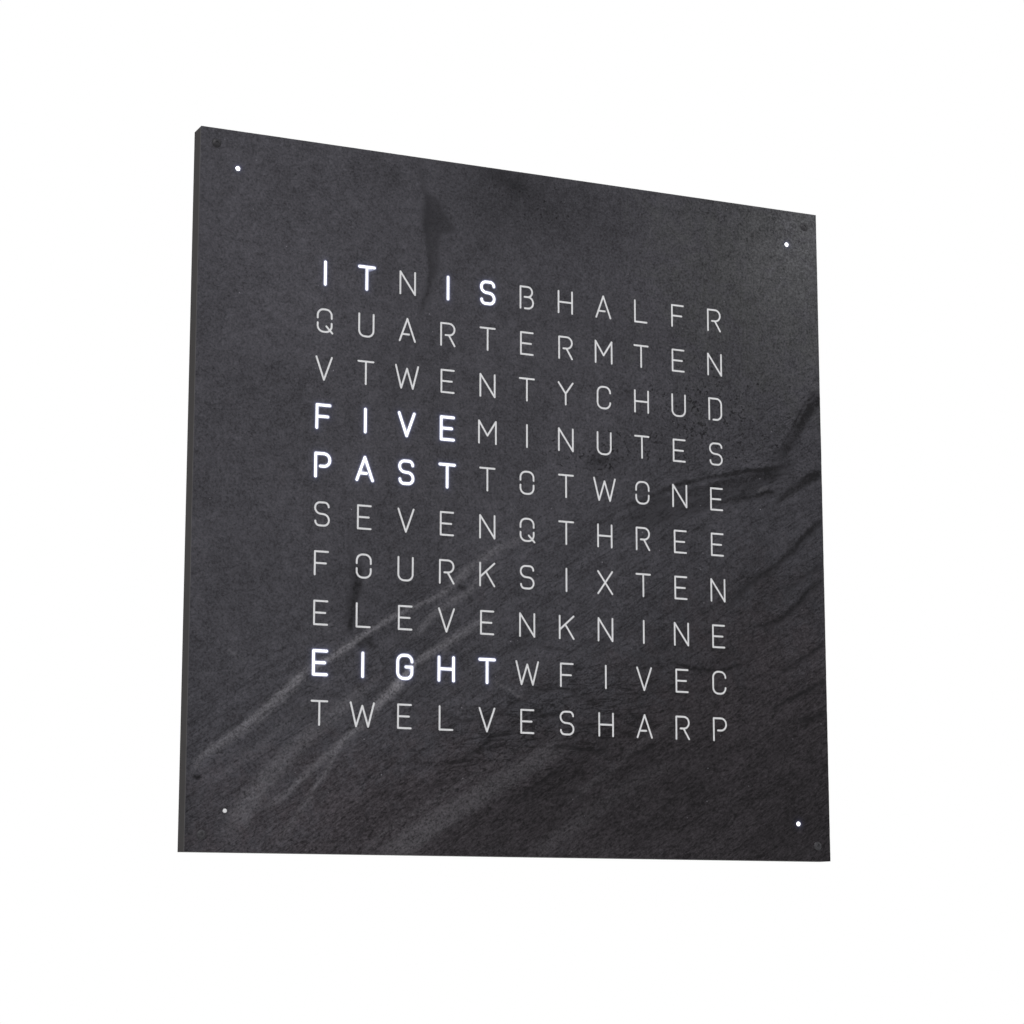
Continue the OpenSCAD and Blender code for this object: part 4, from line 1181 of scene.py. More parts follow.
@dataclass
class DialFace:
    """The slate sheet with its cut letters, and the light pieces that fill the cuts."""

    lettering: Lettering = field(default_factory=Lettering)
    surface: SlateSurface = field(default_factory=SlateSurface)
    grid: float = 2.4
    grid_jitter: float = 0.25
    marked_from: float = 0.22
    flake_margin: float = 2.0
    rim_drop: float = 0.32
    rim_bevel: float = 0.55
    clearance: float = 0.62
    dot_place: ClassVar[float] = 200.5
    dot_radius: float = 1.6
    screw_place: ClassVar[float] = 215.0
    screw_radius: float = 1.9
    recess: float = 0.1
    glow_reach: float = 6.0
    glow_gaps: tuple[float, ...] = (0.22, 0.5, 1.0, 1.8)
    dot_shade: float = 0.45

    def rim_points(self) -> Array:
        """Points round the edge of the square, one grid step apart.

        Returns:
            n by 2 points, counterclockwise.
        """
        count = int(2 * FACE_HALF / self.grid)
        run = np.linspace(-FACE_HALF, FACE_HALF, count, endpoint=False)
        edge = np.full(count, FACE_HALF)
        sides = ((run, -edge), (edge, run), (-run, edge), (-edge, -run))
        return np.concatenate([np.stack(side, -1) for side in sides])

    def cuts(self) -> FaceCuts:
        """Outlines of the letters, holes and rim.

        The strokes of each letter are joined by triangulating them together and following the border
        of what they cover.

        Returns:
            The outlines, stored with the letters first, then the holes and the rim.
        """
        letters, lit_flags = [], []
        for lit in (False, True):
            strokes = [ribbon(line, self.lettering.stroke / 2) for line in self.lettering.lines(lit)]
            spots, triangles, depth, _ = triangulate(np.concatenate(strokes), index_loops(strokes))
            for ring in border_loops(triangles[depth > 0]):
                letters.append(spots[ring])
                lit_flags.append(lit)
        kinds = ((self.dot_place, self.dot_radius), (self.screw_place, self.screw_radius))
        holes = [circle(s * place, t * place, radius) for s, t in CORNERS for place, radius in kinds]
        outlines = [*letters, *holes, self.rim_points()]
        rings = index_loops(outlines)
        count = len(letters)
        return FaceCuts(np.concatenate(outlines), rings[:count], lit_flags, rings[count:-1], rings[-1])

    def inner_points(self, cuts: FaceCuts) -> Array:
        """Points between the cuts: a shaken grid, twice as fine where marks run.

        Args:
            cuts: outlines that the points keep clear of.

        Returns:
            n by 2 points.
        """
        rng = np.random.default_rng(5)
        fine = self.grid / 2
        limit = FACE_HALF - self.rim_bevel
        count = int(2 * limit / fine)
        line = np.linspace(-limit, limit, count)
        i, j = np.meshgrid(np.arange(count), np.arange(count), indexing="ij")
        place = np.stack([line[i], line[j]], -1).reshape(-1, 2)
        stone = self.surface.sample(place[:, 0], place[:, 1])
        marked = np.maximum(stone.vein, stone.cleft) > self.marked_from
        marked |= np.abs(stone.flake) < self.flake_margin
        border = (np.minimum(i, j) == 0) | (np.maximum(i, j) == count - 1)
        even = ((i % 2 == 0) & (j % 2 == 0)) | border
        kept = even.ravel() | marked
        step = np.where(marked, fine, self.grid)[:, None]
        shake = rng.uniform(-1, 1, place.shape) * self.grid_jitter * step
        place = place + np.where(border.ravel()[:, None], 0, shake)
        place = np.clip(place[kept], -limit, limit)
        strokes = self.lettering.lines(False) + self.lettering.lines(True)
        room = self.lettering.stroke / 2 + self.clearance
        place = place[distance_to_lines(place, strokes, room + 1) > room]
        for hole in cuts.holes:
            centre = cuts.points[hole].mean(0)
            radius = np.linalg.norm(cuts.points[hole[0]] - centre)
            gap = np.linalg.norm(place - centre, axis=1) - radius
            place = place[gap > self.clearance]
        return np.concatenate([place, self.glow_rings()])

    def glow_rings(self) -> Array:
        """Extra points close round the lit cuts, where the spill of light falls off.

        Returns:
            n by 2 points.
        """
        lines = self.lettering.lines(True)
        half = self.lettering.stroke / 2
        found = []
        for gap in self.glow_gaps:
            rings = np.concatenate([ribbon(line, half + gap, 6) for line in lines])
            found.append(rings[distance_to_lines(rings, lines, half + 2) > half + gap - 0.04])
            for s, t in MinuteLights.lit:
                found.append(circle(s * self.dot_place, t * self.dot_place, self.dot_radius + gap))
        return np.concatenate(found)

    def lamp_gap(self, spots: Array) -> Array:
        """Distance from each place to the nearest lit cut; a dot counts as a little further off.

        Args:
            spots: n by 2 places.

        Returns:
            n distances of 0 or more, held to the reach of the glow.
        """
        half = self.lettering.stroke / 2
        gap = distance_to_lines(spots, self.lettering.lines(True), self.glow_reach + half) - half
        for s, t in MinuteLights.lit:
            away = np.hypot(spots[:, 0] - s * self.dot_place, spots[:, 1] - t * self.dot_place)
            gap = np.minimum(gap, away - self.dot_radius + self.dot_shade)
        return np.maximum(gap, 0)

    def build(self, stone: Material, pale: Material, bright: Material) -> None:
        """Makes the slate sheet and the fillings of its letters.

        Args:
            stone: finish of the slate.
            pale: finish of the unlit letters.
            bright: finish of the lit letters.
        """
        cuts = self.cuts()
        loops = [cuts.rim, *cuts.letters, *cuts.holes]
        front = triangulate(np.concatenate([cuts.points, self.inner_points(cuts)]), loops)
        self.build_slate(front, triangulate(cuts.points, loops), len(cuts.points), stone)
        self.build_fillings("unlit_letters", cuts, False, pale)
        self.build_fillings("lit_letters", cuts, True, bright)

    def build_slate(
        self, front: Triangulation, back: Triangulation, bounds: int, stone: Material
    ) -> None:
        """Closes the front, the flat back and the walls into one sheet of slate, and marks it.

        Args:
            front: triangulation of the front.
            back: triangulation of the back.
            bounds: number of border points, which come first in both.
            stone: finish.
        """
        spots, triangles, depth, source = front
        triangles = triangles[depth == 1]
        x, z = spots[:, 0], spots[:, 1]
        stone_at = self.surface.sample(x, z)
        chip = 0.5 + 0.5 * self.surface.grit.layered(x, z, 5.0, 3)
        on_rim = np.maximum(np.abs(x), np.abs(z)) > FACE_HALF - 0.01
        dropped = np.where(on_rim, self.rim_drop * (0.5 + chip), 0.0)
        back_spots, back_triangles, back_depth, back_source = back
        points = [at_depth(spots, Y_FRONT - stone_at.height + dropped), at_depth(back_spots, Y_SLATE_BACK)]
        shift = len(spots)
        where_back = np.full(bounds, -1)
        on_border = (back_source >= 0) & (back_source < bounds)
        where_back[back_source[on_border]] = np.flatnonzero(on_border)
        border = border_edges(triangles)
        far = where_back[source[border]] + shift
        walls = np.stack([border[:, 1], border[:, 0], far[:, 0], far[:, 1]], -1)
        faces = [triangles, back_triangles[back_depth == 1][:, ::-1] + shift, walls]
        piece = add_piece("slate_stone", (np.concatenate(points), faces), stone, ["slate_face"],
                          crease=35.0)
        stone_behind = self.surface.sample(back_spots[:, 0], back_spots[:, 1])
        values = {name: (getattr(stone_at, name), getattr(stone_behind, name)) for name in STONE_VALUES}
        values["lamp_gap"] = (self.lamp_gap(spots), np.full(len(back_spots), self.glow_reach))
        for name, halves in values.items():
            layer = piece.data.attributes.new(name, "FLOAT", "POINT")
            layer.data.foreach_set("value", np.concatenate(halves).astype(np.float32))

    def build_fillings(self, name: str, cuts: FaceCuts, lit: bool, material: Material) -> None:
        """Closed solids that fill the letters, a little under the stone's face.

        Args:
            name: name of the piece.
            cuts: outlines.
            lit: which letters.
            material: finish.
        """
        outlines = [cuts.points[ring] for ring, flag in zip(cuts.letters, cuts.lit) if flag is lit]
        spots, triangles = flat_fill(outlines)
        height = self.surface.sample(spots[:, 0], spots[:, 1]).height
        points = [at_depth(spots, Y_FRONT - height + self.recess), at_depth(spots, Y_STEEL_BACK)]
        shift = len(spots)
        border = border_edges(triangles)
        walls = np.stack([border[:, 1], border[:, 0], border[:, 0] + shift, border[:, 1] + shift], -1)
        faces = [triangles, triangles[:, ::-1] + shift, walls]
        add_piece(name, (np.concatenate(points), faces), material)


# ---- Finishes ----


@dataclass
class SlateNodes:
    """The node tree of the slate while it is put together.

    Sources are known by name. The marks come from the mesh, and all else is worked out from them and
    from several noises.
    """

    tree: Tree
    place: Source
    parts: dict[str, Source] = field(default_factory=dict)
    # frames of the noises: name, degrees of the long axis over level, stretch along it
    frames: ClassVar[Table] = (
        ("even", 0.0, 1.0), ("along", 33.0, 8.0), ("slanted", 33.0, 2.6), ("level", 7.0, 5.0),
    )
    # noises: name, frame, size in millimetres, detail, roughness, distortion. The stone's real grain
    # is under 0.1 mm and doesn't show, so "grain" and "speck" are drawn at 1.5 and 1.4 mm, as coarse
    # as they need to be
    noises: ClassVar[Table] = (
        ("grain", "even", 1.5, 2, 0.8, 0.0), ("felt", "even", 3.4, 4, 0.65, 1.6),
        ("mottle", "even", 9.0, 5, 0.65, 0.5), ("stain", "even", 15.0, 3, 0.6, 0.8),
        ("cloud", "even", 48.0, 4, 0.5, 0.5), ("fibre", "along", 1.4, 3, 0.65, 0.2),
        ("layer", "slanted", 17.0, 4, 0.5, 0.5), ("pit", "even", 2.3, 2, 0.6, 0.7),
        ("flow", "along", 6.5, 3, 0.6, 0.4), ("wave", "level", 6.0, 3, 0.6, 0.7),
        ("speck", "slanted", 1.4, 2, 0.8, 0.0),
    )
    # range of a raw noise that is spread to -1 to 1
    noise_range: ClassVar[tuple[float, float]] = (0.32, 0.68)
    # thin layers to a step of the layer noise, and millimetres between glints
    layer_count: ClassVar[float] = 1.8
    glint_pitch: ClassVar[float] = 11.0
    # products: name and its two factors. Sparkle is even grain on the plain grey side of the stone,
    # and bristle is slanted grain on its plum side
    line_products: ClassVar[Table] = (
        ("threads", "fibre", "fold"), ("ledge", "tooth", "ledges"),
        ("sparkle", "grain", "pale_side"), ("bristle", "speck", "dark_side"),
    )
    # how a mark is broken up: name, the mark and the grain that multiplies it
    covers: ClassVar[Table] = (
        ("vein_cover", "vein", "vein_grain"), ("cleft_cover", "cleft", "cleft_grain"),
        ("pit_cover", "pits", "pit_grain"),
    )
    share_products: ClassVar[Table] = (
        ("glint_share", "glint_spot", "glint_pick"), ("vein_threads", "vein_share", "fibre"),
    )
    # dark lines of painted shade at the feet of ledges and in grooves: name, source, half width,
    # region, what breaks it up and from where to where
    lines: ClassVar[Table] = (
        ("foot", "tooth", 0.16, "ledges", "mottle", -0.5, 0.5),
        ("flow_line", "flow", 0.22, "fold", "felt", -0.8, 0.6),
        ("wave_line", "wave", 0.25, "ripple", "felt", -1.0, 0.4),
    )
    # shares: name, source, where it starts and ends, and its value there
    shares: ClassVar[Table] = (
        ("vein_share", "vein_cover", 0.0, 1.0, 0.0, 1.0),
        ("cleft_share", "cleft_cover", 0.08, 0.8, 0.0, 0.9),
        ("pit_share", "pit_cover", 0.5, 0.85, 0.0, 0.85),
        ("flake_share", "flake_edge", -0.5, 1.3, 0.0, 0.37),
        ("glint_spot", "cell_gap", 0.015, 0.045, 1.0, 0.0),
        ("glint_pick", "cell_draw", 0.8, 1.0, 0.0, 1.0),
    )
    # sums of parts, each with what it starts from and the weight of each part
    sums: ClassVar[dict[str, tuple[float, dict[str, float]]]] = {
        # in the level, foot, flow_line and wave_line darken the colour: painted shade
        "level": (1.0, {"grain": 0.32, "felt": 0.22, "mottle": 0.18, "cloud": 0.07, "threads": 0.08,
                        "sparkle": 0.16, "bristle": 0.46,
                        "foot": -0.42, "flow_line": -0.5, "wave_line": -0.85}),
        "hue": (0.0, {"tint": 0.9, "stain": 0.24, "mottle": 0.05}),
        "vein_grain": (0.62, {"fibre": 0.16, "grain": 0.34, "felt": 0.26}),
        "cleft_grain": (1.0, {"mottle": 0.4, "felt": 0.55, "grain": 0.4}),
        "pit_grain": (0.0, {"pit": 1.0, "mottle": 0.5}),
        "flake_edge": (0.0, {"flake": 1.0, "mottle": 1.3, "felt": 1.6, "grain": 1.1}),
        "rise": (0.0, {"grain": 0.36, "felt": 0.5, "mottle": 0.4, "threads": 0.3, "ledge": 0.9,
                       "cleft_share": -0.9, "pit_share": -1.3, "flake_share": -0.6, "flow_line": -0.6,
                       "wave_line": -0.9, "vein_threads": 0.5}),
    }

    def add_marks(self) -> None:
        """Adds the marks that the mesh holds, read by name."""
        for name in (*STONE_VALUES, "lamp_gap"):
            node = add(self.tree, "Attribute", attribute_name=name)
            self.parts[name] = node.outputs["Fac"]

    def add_noises(self) -> None:
        """Adds the noises, each centred on 0 and mostly between -1 and 1."""
        spaces = {}
        for name, angle, stretch in self.frames:
            spaces[name] = add(self.tree, "Mapping", {
                "Vector": self.place, "Rotation": (0, -math.radians(angle), 0), "Scale": (stretch, 1, 1),
            }, vector_type="TEXTURE")
        low, high = self.noise_range
        for name, space, size, detail, rough, bend in self.noises:
            noise = add(self.tree, "TexNoise", {
                "Vector": spaces[space], "Scale": per_mm(size), "Detail": detail, "Roughness": rough,
                "Distortion": bend,
            })
            spread = {0: noise, 1: low, 2: high, 3: -1.0, 4: 1.0}
            self.parts[name] = add(self.tree, "MapRange", spread, clamp=False)

    def add_products(self, table: Table) -> None:
        """Adds products of two parts.

        Args:
            table: name of each product and of its two factors.
        """
        for name, first, second in table:
            wires = {0: self.parts[first], 1: self.parts[second]}
            self.parts[name] = add(self.tree, "Math", wires, operation="MULTIPLY")

    def add_sums(self, *names: str) -> None:
        """Adds weighted sums of parts.

        Args:
            names: which of the sums.
        """
        for name in names:
            total, weights = self.sums[name]
            for source, weight in weights.items():
                wires = {0: self.parts[source], 1: weight, 2: total}
                total = add(self.tree, "Math", wires, operation="MULTIPLY_ADD")
            self.parts[name] = total

    def add_lines(self) -> None:
        """Adds the edges of split layers and the dark lines of the folds.

        The slow layer noise less its whole part is a sawtooth, and each tooth is a thin layer whose foot
        is darkened as painted shade. Flow and wave lines lie where a stretched noise passes through 0;
        they are grooves in the bump, darkened in colour as painted shade.
        """
        tree, parts = self.tree, self.parts
        slope = add(tree, "Math", {0: parts["layer"], 1: self.layer_count}, operation="MULTIPLY")
        parts["tooth"] = add(tree, "Math", {0: slope}, operation="FRACT")
        for name, end in (("pale_side", 1.0), ("dark_side", -1.0)):
            parts[name] = add(tree, "MapRange", {0: parts["tint"], 1: 0.0, 2: end})
        fold = {0: parts["fold"], 1: 0.7, 2: 0.3}
        parts["ledges"] = add(tree, "Math", fold, operation="MULTIPLY_ADD")
        self.add_products(self.line_products)
        for name, source, width, region, cover, low, high in self.lines:
            near = add(tree, "Math", {0: parts[source]}, operation="ABSOLUTE")
            parts["line"] = add(tree, "MapRange", {0: near, 1: 0.0, 2: width, 3: 1.0, 4: 0.0})
            parts["kept"] = add(tree, "MapRange", {0: parts[cover], 1: low, 2: high})
            self.add_products((("line", "line", "kept"), (name, "line", region)))

    def add_shares(self) -> None:
        """Adds how much each kind of mark covers the ground, broken up by the grain.

        A glint is the middle of a cell of a flat cell noise, in the few cells whose draw is high.
        """
        tree, parts = self.tree, self.parts
        self.add_sums("vein_grain", "cleft_grain", "pit_grain", "flake_edge")
        self.add_products(self.covers)
        axes = add(tree, "SeparateXYZ", {0: self.place})
        flat = add(tree, "CombineXYZ", {0: axes.outputs["X"], 1: axes.outputs["Z"]})
        grid = {"Vector": flat, "Scale": per_mm(self.glint_pitch)}
        cells = add(tree, "TexVoronoi", grid, voronoi_dimensions="2D")
        parts["cell_gap"], parts["cell_draw"] = cells.outputs["Distance"], cells.outputs["Color"]
        for name, source, low, high, first, last in self.shares:
            ends = {0: parts[source], 1: low, 2: high, 3: first, 4: last}
            parts[name] = add(tree, "MapRange", ends)
        self.add_products(self.share_products)

    def colour(self, finish: "Slate") -> Source:
        """The ground colour with all marks laid over it.

        The brightness is a sum of noises around one, doubled or halved by each step of a value that
        holds the stone's darker and paler zones together with a painted sheen and painted shade, and
        multiplies a plum, violet or plain grey.

        Args:
            finish: colours of the slate.

        Returns:
            The colour.
        """
        tree, parts = self.tree, self.parts
        self.add_sums("level", "hue")
        level = add(tree, "MapRange", {0: parts["level"], 1: 0.3, 2: 2.5, 3: 0.3, 4: 2.5})
        shade = add(tree, "Math", {0: 2.0, 1: parts["tone"]}, operation="POWER")
        level = add(tree, "Math", {0: level, 1: shade}, operation="MULTIPLY")
        hue = add(tree, "MapRange", {0: parts["hue"], 1: -1.0, 2: 1.0})
        plum, violet, neutral = srgb(finish.plum), srgb(finish.violet), srgb(finish.neutral)
        stops = ((0.1, plum), (0.4, violet), (0.64, violet), (0.92, neutral))
        ground = add(tree, "ValToRGB", {"Fac": hue}, stops=stops)
        body = add(tree, "VectorMath", {0: ground, "Scale": level}, operation="SCALE").outputs[0]
        # the dark laid over flakes, clefts and pits is painted shade in the hollows
        for share, colour in (("vein_share", finish.pale), ("flake_share", finish.dark),
                              ("cleft_share", finish.dark), ("pit_share", finish.dark),
                              ("glint_share", finish.glint)):
            mix = add(tree, "Mix", {0: parts[share], 6: body, 7: srgb(colour)}, data_type="RGBA")
            body = mix.outputs[2]
        return body

    def glow(self, finish: "Slate") -> dict[str, Source]:
        """The light that spills from a lit cut: a tight bright rim and a wide faint bloom.

        Both fall off with the distance to the nearest lit cut, the rim with its square.

        Args:
            finish: colours of the light.

        Returns:
            Inputs of the shader.
        """
        tree, gap = self.tree, self.parts["lamp_gap"]
        square = add(tree, "Math", {0: gap, 1: 2.0}, operation="POWER")
        fallen = (
            add(tree, "Math", {0: source, 1: fall}, operation="MULTIPLY")
            for source, fall in ((square, -3.8), (gap, -0.62))
        )
        rim, bloom = (add(tree, "Math", {0: power}, operation="EXPONENT") for power in fallen)
        tints = {0: rim, 6: srgb(finish.bloom_tint), 7: srgb(finish.spill_tint)}
        tint = add(tree, "Mix", tints, data_type="RGBA")
        bloom = add(tree, "MapRange", {0: bloom, 1: 0.03, 2: 1.0, 3: 0.0, 4: 0.06})
        strength = add(tree, "Math", {0: rim, 1: 0.85, 2: bloom}, operation="MULTIPLY_ADD")
        return {"Emission Color": tint.outputs[2], "Emission Strength": strength}


@dataclass(frozen=True)
class Slate(Finish):
    """Natural slate, split along its layers and left raw.

    To the eye that is a dark, matt, faintly violet ground with a fine broken grain, thin dark lines
    where layers end, pale fibrous veins and black hollows. The dark of those lines and hollows is
    painted shade.
    """

    violet: str = "#444348"
    plum: str = "#444044"
    neutral: str = "#444446"
    pale: str = "#88868b"
    # painted shade: the dark that fills clefts, pits and the flake's hollow, and the low side of steps
    dark: str = "#161517"
    glint: str = "#9a98a0"
    spill_tint: str = "#f2f4ff"
    bloom_tint: str = "#a2ace8"
    specular: float = 0.086
    bump: float = 0.32

    def material(self) -> Material:
        """Builds the slate from the marks held by the mesh and several noises.

        Returns:
            The material.
        """
        material, tree, shader = self.start()
        nodes = SlateNodes(tree, add(tree, "TexCoord").outputs["Object"])
        nodes.add_marks()
        nodes.add_noises()
        nodes.add_lines()
        nodes.add_shares()
        nodes.add_sums("rise")
        smooth, rough = self.roughness - 0.08, self.roughness + 0.12
        dull = {0: nodes.parts["grain"], 1: -1.0, 2: 1.0, 3: smooth, 4: rough}
        bump = {"Strength": 1.0, "Distance": self.bump * MM, "Height": nodes.parts["rise"]}
        fill(tree, shader, {
            "Base Color": nodes.colour(self),
            "Roughness": add(tree, "MapRange", dull),
            "Specular IOR Level": self.specular,
            "Normal": add(tree, "Bump", bump),
            **nodes.glow(self),
        })
        return material


@dataclass(frozen=True)
class Mottled(Finish):
    """A coat, moulding or metal with a fine grain: colour and roughness drift, and a soft bump.

    The grain is the spacing of its specks in millimetres. The real ones are 0.05 to 0.3 mm apart and
    wouldn't show, so they are drawn as coarse as they need to be. The bump is their height.
    """

    drift: str = "#000000"
    grain: float = 0.6
    bump: float = 0.02
    drift_size: float = 25.0
    specular: float = 0.5

    def material(self) -> Material:
        """Builds the finish: a slow and a fine noise, whose product mixes the two colours.

        Returns:
            The material.
        """
        material, tree, shader = self.start()
        place = add(tree, "TexCoord").outputs["Object"]
        wide = {"Vector": place, "Scale": per_mm(self.drift_size), "Detail": 4}
        fine = {"Vector": place, "Scale": per_mm(self.grain), "Detail": 2}
        wide, fine = (add(tree, "TexNoise", wires).outputs["Fac"] for wires in (wide, fine))
        both = add(tree, "Math", {0: wide, 1: fine}, operation="MULTIPLY")
        share = add(tree, "MapRange", {0: both, 1: 0.12, 2: 0.4})
        colours = {0: share, 6: srgb(self.colour), 7: srgb(self.drift)}
        dull = {0: fine, 1: 0.3, 2: 0.7, 3: self.roughness - 0.06, 4: self.roughness + 0.06}
        bump = {"Strength": 0.6, "Distance": self.bump * MM, "Height": fine}
        fill(tree, shader, {
            "Base Color": add(tree, "Mix", colours, data_type="RGBA").outputs[2],
            "Roughness": add(tree, "MapRange", dull),
            "Specular IOR Level": self.specular,
            "Normal": add(tree, "Bump", bump),
        })
        return material


@dataclass(frozen=True)
class Glowing(Finish):
    """Opal resin with a lamp behind it: it shows its own light more than what falls on it."""

    light: str = "#ffffff"
    strength: float = 1.3

    def material(self) -> Material:
        """Builds the lit resin, whose light drifts a little with a slow noise.

        Returns:
            The material.
        """
        material, tree, shader = self.start()
        place = add(tree, "TexCoord").outputs["Object"]
        drift = add(tree, "TexNoise", {"Vector": place, "Scale": per_mm(9.0), "Detail": 2})
        ends = {0: drift, 1: 0.3, 2: 0.7, 3: self.strength * 0.94, 4: self.strength * 1.06}
        strength = add(tree, "MapRange", ends)
        fill(tree, shader, {"Emission Color": srgb(self.light), "Emission Strength": strength})
        return material


# slate, split and left raw: its class says what the eye gets
SLATE = Slate("natural_split_slate", "#403f44", 0.66, ior=1.55)
# opal acrylic resin, cast into the cuts and left flush: milky pale grey with a dull, soft gloss
UNLIT_RESIN = Mottled("opal_resin_unlit", "#d8d8da", 0.45, ior=1.49, drift="#e2e2e4", grain=2.0, bump=0.01,
                      specular=0.2)
# the same resin with a lamp behind it: an even, cool white glow
LIT_RESIN = Glowing("opal_resin_lit", "#e8e9ee", 0.4, ior=1.49)
# matt acrylic lacquer, sprayed on: a warm dark grey with no shine and a faint drift
LACQUER = Mottled("matt_grey_lacquer", "#413f3f", 0.72, drift="#474545", grain=0.8, bump=0.012,
                  drift_size=60.0, specular=0.03)
# matt paint, sprayed on steel sheet: a shade paler than the lacquer, and as dull. The paler grey
# is partly the paint's own and partly a painted highlight along the clock's front edge
PAINTED_STEEL = Mottled("matt_painted_steel", "#555354", 0.72, drift="#5a5859", grain=0.7, specular=0.05)
# black oxide on a turned steel screw: nearly black, with a dim metal sheen
BLACK_SCREW = Mottled("black_oxide_screw", "#1c1c1e", 0.38, 0.6, drift="#2c2c2e", grain=0.5)
# slate grey lacquer, baked on a domed steel head: the stone's colour, a little glossier
SLATE_GREY_SCREW = Mottled("slate_grey_lacquered_screw", "#262528", 0.4, drift="#454447", grain=0.9,
                           bump=0.1, specular=0.15)
# end of a polished acrylic rod with a lamp behind it: a small white point, brighter than the letters
LIGHT_PIN = Glowing("light_pin_lit", "#eef0f6", 0.3, ior=1.49, strength=2.2)
# fine texture powder coat, baked on pressed steel: near black, dry, with a sandy skin
POWDER_COAT = Mottled("fine_texture_powder_coat", "#2e2e2f", 0.6, ior=1.55, drift="#373738", grain=0.9,
                      bump=0.05)
# turned brass: yellow metal with a fine tool mark
BRASS = Mottled("turned_brass", "#b99a55", 0.32, 1.0, drift="#a88846", grain=0.4)
# acrylic rod, sawn and bead blasted: pale and cloudy, like frosted glass
FROSTED_ACRYLIC = Mottled("frosted_acrylic", "#d4d6da", 0.3, ior=1.49, drift="#c9cbd0", grain=1.0)
# ABS, injection moulded and bead blasted: white and satin
WHITE_ABS = Mottled("white_moulded_abs", "#e6e6e3", 0.5, ior=1.54, drift="#dcdcd9", grain=0.7)
# epoxy solder resist, screen printed on glass laminate: off-white or deep green, with half a gloss
WHITE_RESIST = Mottled("white_solder_resist", "#dfe0dc", 0.35, ior=1.55, drift="#d4d6d0", grain=0.5)
GREEN_RESIST = Mottled("green_solder_resist", "#1f5a38", 0.35, ior=1.55, drift="#2a6a44", grain=0.5)
# silicone with phosphor, poured into a white package: a pale yellow window
LED_PACKAGE = Mottled("led_package", "#e9e6cf", 0.4, ior=1.47, drift="#dcd7a8", grain=0.8)
# filled epoxy, transfer moulded: a dry, even black
CHIP_EPOXY = Mottled("moulded_epoxy_black", "#202022", 0.6, ior=1.55, drift="#29292b", grain=0.3)
# bright zinc plate on punched steel: bluish white metal, cloudy every 8 mm
ZINC_PLATE = Mottled("zinc_plated_steel", "#b9bcc0", 0.34, 1.0, drift="#a5a9ae", grain=0.9, drift_size=8.0)
# drawn aluminium can: plain bright metal
ALUMINIUM = Mottled("aluminium_can", "#c6c8ca", 0.3, 1.0, drift="#b4b6b9", grain=0.5)
# nylon, injection moulded: black, with a soft sheen
BLACK_NYLON = Mottled("black_nylon", "#1d1d1f", 0.5, ior=1.53, drift="#262628", grain=0.5)
# ABS, moulded against a spark-eroded tool: dark grey, with a fine tooth
BUTTON_ABS = Mottled("grey_button_plastic", "#2a2a2c", 0.42, ior=1.54, drift="#323234", grain=0.5)
# polyester film, laminated over flat leads: pale grey and a little waxy
FLAT_CABLE = Mottled("pale_flat_cable", "#c9c8c2", 0.45, ior=1.57, drift="#bdbcb5", grain=1.2)
# PVC, extruded over stranded copper: red, with a soft gloss
RED_PVC = Mottled("red_pvc_sleeve", "#a31f1c", 0.4, ior=1.54, drift="#8d1a18", grain=0.8)
SLOT_FINISHES: dict[str, Finish] = {
    "slate": SLATE, "painted_steel": PAINTED_STEEL, "lacquered_board": LACQUER, "black_screw": BLACK_SCREW,
    "brass": BRASS, "clear_acrylic": FROSTED_ACRYLIC, "lit_acrylic": LIT_RESIN, "opal_acrylic": UNLIT_RESIN,
    "white_plastic": WHITE_ABS, "white_circuit_board": WHITE_RESIST, "green_circuit_board": GREEN_RESIST,
    "led": LED_PACKAGE, "chip_black": CHIP_EPOXY, "zinc_steel": ZINC_PLATE, "aluminium_can": ALUMINIUM,
    "black_plastic": BLACK_NYLON, "button_plastic": BUTTON_ABS, "flat_cable": FLAT_CABLE,
    "red_wire": RED_PVC, "cover_steel": POWDER_COAT,
}


# ---- Fastenings, lights and buttons ----


@dataclass(frozen=True)
class SocketScrew:
    """A screw with a domed head, a hex socket and a cut thread. Sizes are millimetres."""

    head_radius: float
    head_height: float
    shank_radius: float
    length: float
    key_width: float = 2.0
    pitch: float = 0.5
    skirt: float = 0.0
    socket_floor: float = 0.4
    core_share: ClassVar[float] = 0.86
    socket_ease: ClassVar[float] = 0.06

    def rows(self) -> list[tuple[float, ...]]:
        """Profile from the tip of the shank to the floor of the socket.

        The thread is rings a pitch apart with their roots between. The dome is the arc that passes
        through the rim and the top. The head's skirt may run down into a rough face.

        Returns:
            Rows for `turned`.
        """
        core = self.core_share * self.shank_radius
        count = int((self.length - 1.0) / self.pitch)
        rows: list[tuple[float, ...]] = [(0.7 * core, -self.length)]
        for turn in range(count):
            foot = -self.length + 0.4 + turn * self.pitch
            rows += [(core, foot), (self.shank_radius, foot + self.pitch / 2)]
        rows += [(core, -self.skirt), (self.head_radius - 0.12, -self.skirt),
                 (self.head_radius, 0.1 - self.skirt)]
        dome = (self.head_radius**2 + self.head_height**2) / (2 * self.head_height)
        corner = self.key_width / math.sqrt(3)
        rim = corner + 0.22
        for radius in np.linspace(self.head_radius - 0.05, rim, 9):
            rows.append((float(radius), math.sqrt(dome**2 - radius**2) - (dome - self.head_height)))
        rim_height = rows[-1][1]
        floor = self.socket_floor * self.head_height
        rows += [(rim - 0.08, rim_height - 0.01), (corner, rim_height - 0.14, 1.0),
                 (corner, floor + 0.05, 1.0), (corner - self.socket_ease, floor, 1.0)]
        return rows


@dataclass(frozen=True)
class CountersunkScrew(SocketScrew):
    """A screw with a cone under a flat head, flush with the plate that it holds."""

    def rows(self) -> list[tuple[float, ...]]:
        """Profile from the tip to the socket's floor, with the top of the head at zero.

        Returns:
            Rows for `turned`.
        """
        widest, top = self.shank_radius, -self.head_height
        shank = [row for row in super().rows() if row[0] <= widest and row[1] < top]
        corner, floor = self.key_width / math.sqrt(3), -self.socket_floor
        return [*shank, (self.shank_radius, -self.head_height), (self.head_radius - 0.04, -0.12),
                (self.head_radius - 0.04, -0.06), (self.head_radius - 0.12, 0.0), (corner + 0.2, 0.0),
                (corner, -0.1, 1.0), (corner, floor, 1.0), (corner - self.socket_ease, floor - 0.02, 1.0)]


